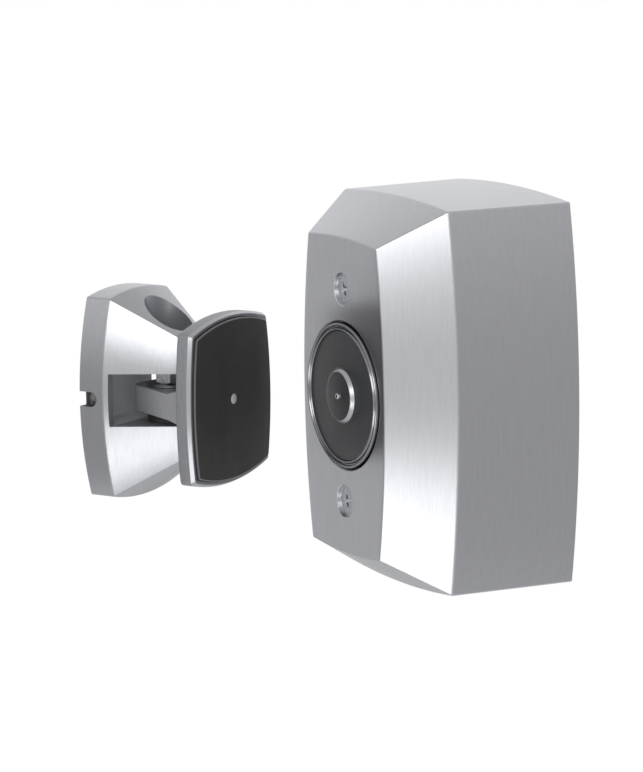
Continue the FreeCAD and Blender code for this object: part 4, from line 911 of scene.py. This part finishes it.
# The slot is open on both sides from 11.5 mm out, and goes deeper between its two ends
slot_end, slot_back, window_back = 18.86, 1.2, 11.5
window = block("window", across, -slot_half, slot_half, window_back, flat_depth + 2)
back_slot = block("back_slot", 2 * slot_end, -slot_half, slot_half, slot_back, window_back + 1)
notch_radius, notch_centre = 2.6, 4.6
notch_path = [(notch_radius * math.sin(a), notch_centre + notch_radius * math.cos(a))
              for a in np.linspace(-math.pi / 2, math.pi / 2, 17)]
notch_outline = [(-notch_radius, -1)] + notch_path + [(notch_radius, -1)]
notches = [stacked("notch", [np.array([(side * x, y, z) for y, z in notch_outline])
                             for x in (slot_end, 30.0)], door_unit) for side in (1, -1)]
tapped_radius, tapped_depth, lead_in = 2.5, 12.0, 0.3
tapped_profile = [(tapped_radius + lead_in, -1), (tapped_radius + lead_in, 0), (tapped_radius, lead_in),
                  (tapped_radius, tapped_depth), (0, tapped_depth + 1.2)]
bolt_holes = [turned("bolt_hole", tapped_profile, door_unit, y=side * boss_height, count=40)
              for side in (1, -1)]
wrench_radius, pivot_radius, slot_inside = 8.35, 3.0, slot_half - 0.2
wrench_hole = stacked("wrench_hole", [pivot_ring(wrench_radius, height, count=96)
                                      for height in (slot_inside, 45)], door_unit)
pivot_hole = stacked("pivot_hole", [pivot_ring(pivot_radius, height, count=48)
                                    for height in (-slot_inside, -22.2)], door_unit)
# Paler, less metallic skin at the back of the slot, its paler colour painted light where the window lets
# light in, and dark skin in the two notches, painted shade. The wrench hole and the bolt holes are bored,
# bare metal.
lit_slot_back_skin = like_finish(cast_skin_and_shade, "slot_back_skin_painted_light", "#C3C4C7", "#D2D3D6", metallic=0.35)
notch_shade_skin = like_finish(cast_skin_and_shade, "notch_skin_painted_shade", "#55565A", "#636468")
bored_aluminium = like_finish(base_aluminium, "bored_bare_aluminium", metallic=0.8)
door_base.data.materials.append(base_aluminium)
# The hollow and the window take the cast skin, whose darker colour is partly painted shade
for tool in (hollow, window):
    tool.data.materials.append(cast_skin_and_shade)
back_slot.data.materials.append(lit_slot_back_skin)
# The notches' dark skin is painted shade
for tool in notches:
    tool.data.materials.append(notch_shade_skin)
for tool in bolt_holes + [wrench_hole, pivot_hole]:
    tool.data.materials.append(bored_aluminium)
carve(door_base, [hollow, window, back_slot] + notches + bolt_holes + [wrench_hole, pivot_hole])
surface(door_base, ease=0.22)
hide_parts("door_base")
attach(door_base, "fixed")


# Pivot bush: bronze, pressed from powder, sintered and soaked with oil, in the lug's bore. It turns with the
# lug on the pivot bolt.
# Sintered bronze: pressed powder, full of oil. The eye sees a dull brown with fine dark pores.
sintered_bronze, bronze, bronze_place = new_finish("oiled_sintered_bronze")
# Pores 0.25 mm apart, where the real ones are nearer 0.05 mm, so that they show
bronze_pores = add_node(bronze, "ShaderNodeTexNoise", {
    "Vector": bronze_place, "Scale": 1000 / 0.25, "Detail": 2.0})
end_finish(bronze, {"Metallic": 1.0},
           tint=(bronze_pores.outputs[0], (0.35, "#7E5C33"), (0.65, "#AE8853")),
           rough=(bronze_pores.outputs[0], 0.6, 0.4), relief=(bronze_pores.outputs[0], 0.4, 0.04))
dress("pivot_bush", sintered_bronze)


# Armature carrier: aluminium casting, a fan-shaped lug that swivels on the pivot bolt and spreads into a
# square tray with crowned sides. The bevel that frames the tray is brushed bright.
pictured_swivel = 5.0
swivel_unit = stand(door_x + pivot_out * math.cos(math.radians(door_yaw)),
                    door_y + pivot_out * math.sin(math.radians(door_yaw)), door_yaw + pictured_swivel)

# Tumbled cast aluminium: the swivel casting, vibratory finished and clear coated. The eye sees an even mid
# grey, duller than the brushed castings, with a faint grain.
tumbled_aluminium, tumbled, tumbled_place = new_finish("tumbled_cast_aluminium")
# Grain 0.9 mm across, drawn out to 4 mm upwards by the tumbling stones
tumbled_scale = add_node(tumbled, "ShaderNodeMapping", {
    "Vector": tumbled_place, "Scale": (1000 / 0.9, 1000 / 0.9, 1000 / 4)})
tumbled_grain = add_node(tumbled, "ShaderNodeTexNoise", {
    "Vector": tumbled_scale.outputs[0], "Scale": 1.0, "Detail": 3.0, "Roughness": 0.6})
end_finish(tumbled, {"Metallic": 1.0},
           tint=(tumbled_grain.outputs[0], (0.3, "#A0A1A5"), (0.7, "#ABACB0")),
           rough=(tumbled_grain.outputs[0], 0.56, 0.48), relief=(tumbled_grain.outputs[0], 0.2, 0.02))

# Lacquered flanks of the lug: the same casting under a clear lacquer that has turned milky. The eye sees a
# paler, duller grey.
lacquered_aluminium = like_finish(tumbled_aluminium, "milky_lacquered_aluminium", metallic=0.3)

carrier_back, carrier_edge, carrier_front, tray_floor = 18.5, 22.8, 24.2, 21.1
carrier_size, plate_bulges, bevel, bright_frame = np.array((52.8, 52.0)), (2.2, 3.7), 1.4, 2.0
tray_size = carrier_size - bevel - bright_frame
armature_carrier = stacked("carrier_casting", eased([
    barrel_ring(carrier_size - 4.0, plate_bulges, carrier_back, 0.8),
    barrel_ring(carrier_size, plate_bulges, carrier_back, 1.0),
    barrel_ring(carrier_size, plate_bulges, carrier_edge, 1.0),
    barrel_ring(carrier_size - bevel, plate_bulges, carrier_front, 0.9),
    barrel_ring(tray_size, plate_bulges, carrier_front, 0.8),
    barrel_ring(tray_size, plate_bulges, tray_floor, 0.8),
    barrel_ring((46.0, 46.0), plate_bulges, tray_floor, 0.8)], [0.8, 0.25, 0.2, 0.15, 0.2]), swivel_unit)
armature_carrier.data.materials.append(tumbled_aluminium)
armature_carrier.data.materials.append(base_aluminium)
# The frame's bevel lies between the carrier's edge and its front
from_swivel = swivel_unit.inverted()
for face in armature_carrier.data.polygons:
    if carrier_edge < (from_swivel @ face.center).z < carrier_front and len(face.vertices) == 4:
        face.material_index = 1

lug_nose, nose_radius, nose_half_width, lug_spread = 12.4, 2.0, 3.8, 19.0
lug_top, lug_foot, top_rise, foot_rise, taper_start, blend_radius = 3.2, 6.0, 3.0, 0.9, 8.2, 7.0


def lug_reach(out, start, rise):
    """Height of the lug's top or underside, that far out, with its blend into the carrier's back."""
    slope = rise / (carrier_back - taper_start)
    lean = math.sqrt(1 + slope ** 2)
    centre = start + slope * (carrier_back - blend_radius - taper_start) + blend_radius * lean
    along = min(out, carrier_back) - (carrier_back - blend_radius)
    if along > blend_radius * slope / lean:
        return centre - math.sqrt(blend_radius ** 2 - along ** 2)
    return start + slope * max(0, out - taper_start)


# Sections lie close together where the nose rounds and where the blend rises
blend_steps = blend_radius * (1 - np.sin(np.linspace(0.15, 1.0, 13) * math.pi / 2))
lug_rings = []
for out in [-lug_nose, -12.2, -11.7, -11.0, -10.3, -7.5, -4.5, -1.5, 1.5, 4.5, taper_start, 9.5, 11.0] + list(
        carrier_back - blend_steps) + [carrier_back + 0.1]:
    half_width = nose_half_width + lug_spread * (min(out, carrier_back) + lug_nose) / (
        carrier_back + lug_nose)
    into_nose = max(0.0, nose_radius - lug_nose - out)
    half_width -= nose_radius - math.sqrt(max(0.0, nose_radius ** 2 - into_nose ** 2))
    lug_rings.append(box_ring(2 * half_width, -lug_reach(out, lug_foot, foot_rise),
                              lug_reach(out, lug_top, top_rise), out, ease=0.4, steps=(4, 8)))
lug = stacked("lug", lug_rings, swivel_unit)
lug.data.materials.append(lacquered_aluminium)
lug.data.materials.append(cast_skin_and_shade)
# The top and the underside keep the sand's skin
for face in lug.data.polygons:
    face.material_index = int(abs(face.normal.z) > 0.75)
carve(armature_carrier, [lug], "UNION")
bush_bore_radius, rivet_hole_radius, rivet_back = 4.35, 1.8, 16.1
bush_bore = stacked("bush_bore", [pivot_ring(bush_bore_radius, height, out=0) for height in (-9.0, 6.0)],
                    swivel_unit)
rivet_hole = turned("rivet_hole", [(rivet_hole_radius, rivet_back), (rivet_hole_radius, 24)], swivel_unit,
                    count=32)
for tool in (bush_bore, rivet_hole):
    tool.data.materials.append(tumbled_aluminium)
carve(armature_carrier, [bush_bore, rivet_hole])
surface(armature_carrier)
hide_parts("armature_carrier")
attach(armature_carrier, "swivel")


# Armature plate: soft steel plate, ground flat and blackened, that the magnet holds. It lies in the carrier's
# tray and stands proud of it with a small bevel all round.
# Blackened steel: ground, then oxidised in a hot bath. The eye sees charcoal grey with a faint upright sheen.
black_steel, black, black_place = new_finish("blackened_ground_steel")
# Grinding lines 0.6 mm apart, up and down, and cloudy blackening 12 mm across
black_lines_place = add_node(black, "ShaderNodeMapping", {
    "Vector": black_place, "Scale": (1000 / 0.6, 1000 / 0.6, 1000 / 40)})
black_lines = add_node(black, "ShaderNodeTexNoise", {
    "Vector": black_lines_place.outputs[0], "Scale": 1.0, "Detail": 3.0, "Roughness": 0.6})
black_clouds = add_node(black, "ShaderNodeTexNoise", {
    "Vector": black_place, "Scale": 1000 / 12.0, "Detail": 2.0})
black_mix = add_node(black, "ShaderNodeMix", {0: 0.5, 2: black_lines.outputs[0], 3: black_clouds.outputs[0]},
                     data_type="FLOAT")
end_finish(black, {"Metallic": 0.6}, tint=(black_mix.outputs[0], (0.3, "#424142"), (0.7, "#4D4C4D")),
           rough=(black_mix.outputs[0], 0.55, 0.42), relief=(black_lines.outputs[0], 0.2, 0.02))

# Worn steel: the plate's bevelled edge, where the blackening has rubbed through. The eye sees a thin grey
# line.
worn_steel = like_finish(black_steel, "steel_with_worn_blackening", "#7C7D7F", "#8E8F91", metallic=1.0)

armature_front, armature_bevel, armature_size, middle_size = 25.2, 0.4, tray_size - 0.3, (44.0, 44.0)
armature_plate = stacked("ground_armature_plate", eased([
    barrel_ring(middle_size, plate_bulges, tray_floor, 0.6),
    barrel_ring(armature_size, plate_bulges, tray_floor, 0.8),
    barrel_ring(armature_size, plate_bulges, armature_front - armature_bevel, 0.8),
    barrel_ring(armature_size - 2 * armature_bevel, plate_bulges, armature_front, 0.7),
    barrel_ring(middle_size, plate_bulges, armature_front, 0.6)], [0.2, 0.1, 0.1]), swivel_unit)
armature_plate.data.materials.append(black_steel)
armature_plate.data.materials.append(worn_steel)
# The worn bevel's faces have their middle just behind the plate's front
for face in armature_plate.data.polygons:
    if armature_front - 0.38 < (from_swivel @ face.center).z < armature_front - 0.02:
        face.material_index = 1
plate_hole = turned("plate_hole", [(rivet_hole_radius, 20), (rivet_hole_radius, 26)], swivel_unit, count=32)
plate_hole.data.materials.append(black_steel)
carve(armature_plate, [plate_hole])
surface(armature_plate)
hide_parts("armature_plate")
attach(armature_plate, "swivel")


# Armature rivet: soft aluminium rivet that holds the plate to its carrier. Its end is dressed almost flush
# and slightly domed.
rivet_radius = 1.775

# Filed aluminium: the soft rivet's end, dressed with a file and pressed dull against the magnet. The eye sees
# a pale grey dot with crossed scratches.
filed_aluminium, filed, filed_place = new_finish("filed_rivet_aluminium")
# Scratches 0.15 mm apart and 2 mm long
filed_scale = add_node(filed, "ShaderNodeMapping", {
    "Vector": filed_place, "Rotation": (0.5, 0.4, 0.6),
    "Scale": (1000 / 0.15, 1000 / 0.15, 1000 / 2)})
filed_scratches = add_node(filed, "ShaderNodeTexNoise", {
    "Vector": filed_scale.outputs[0], "Scale": 1.0, "Detail": 2.0})
end_finish(filed, {"Metallic": 0.6, "Roughness": 0.6},
           tint=(filed_scratches.outputs[0], (0.3, "#BEBEBD"), (0.7, "#DBDBDA")))

armature_rivet = turned("dressed_rivet", [
    (0, rivet_back), (rivet_radius, rivet_back), (rivet_radius, armature_front + 0.05),
    (1.6, armature_front + 0.22), (1.2, armature_front + 0.34), (0.6, armature_front + 0.39),
    (0, armature_front + 0.4)], swivel_unit, count=40)
surface(armature_rivet, filed_aluminium, angle=60)
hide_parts("armature_rivet")
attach(armature_rivet, "swivel")


# Pivot bolt: a hexagon head bolt of plated steel, put in from above through the wrench hole and screwed into
# the metal below the slot. Its head shows through the slot, above the lug.
end_float, washer_thick, head_tall, half_flats, face_radius = 0.1, 0.9, 5.4, 4.8, 4.6
head_low = lug_top + end_float + washer_thick
head_top = head_low + head_tall
# The head's corners start 25.5 degrees round, where the wrench has left them, and are chamfered by 30 degrees
turns = np.arange(72) * 2 * math.pi / 72
off_flat = (turns - math.radians(25.5)) % (math.pi / 3) - math.pi / 6
hexagon = half_flats / np.cos(off_flat)
corner_drop = np.maximum(0, hexagon - face_radius) * math.tan(math.radians(30))
bolt_radius, bolt_end, end_chamfer = 2.95, -20.2, 0.6
pivot_bolt = stacked("hexagon_pivot_bolt", [pivot_ring(radius, height) for radius, height in (
    (0, bolt_end), (bolt_radius - end_chamfer, bolt_end), (bolt_radius, bolt_end + end_chamfer),
    (bolt_radius, head_low), (face_radius, head_low), (hexagon, head_low + corner_drop),
    (hexagon, head_top - corner_drop), (face_radius, head_top), (0, head_top))], door_unit)
surface(pivot_bolt, plated_steel)

# Pivot washers: a plain steel washer above the lug and a thicker blackened one below, which take up its end
# float
washer_bore, washer_radius, washer_ease = 3.0, 8.2, 0.15
washer_parts = []
for low, high in ((head_low - washer_thick, head_low), (-slot_half, -lug_foot - end_float)):
    washer_parts.append(stacked("washer_pair", [pivot_ring(radius, height) for radius, height in (
        (washer_bore, low + 0.1), (washer_bore + 0.1, low), (washer_radius - washer_ease, low),
        (washer_radius, low + washer_ease), (washer_radius, high - washer_ease),
        (washer_radius - washer_ease, high), (washer_bore + 0.1, high), (washer_bore, high - 0.1))],
        door_unit, joined=True))
washer_parts[0].data.materials.append(drawn_steel)
washer_parts[1].data.materials.append(black_steel)
carve(washer_parts[0], washer_parts[1:], "UNION")
pivot_washers = washer_parts[0]
surface(pivot_washers)
for piece, node in ((pivot_bolt, "pivot_bolt"), (pivot_washers, "pivot_washers")):
    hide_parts(node)
    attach(piece, "fixed")
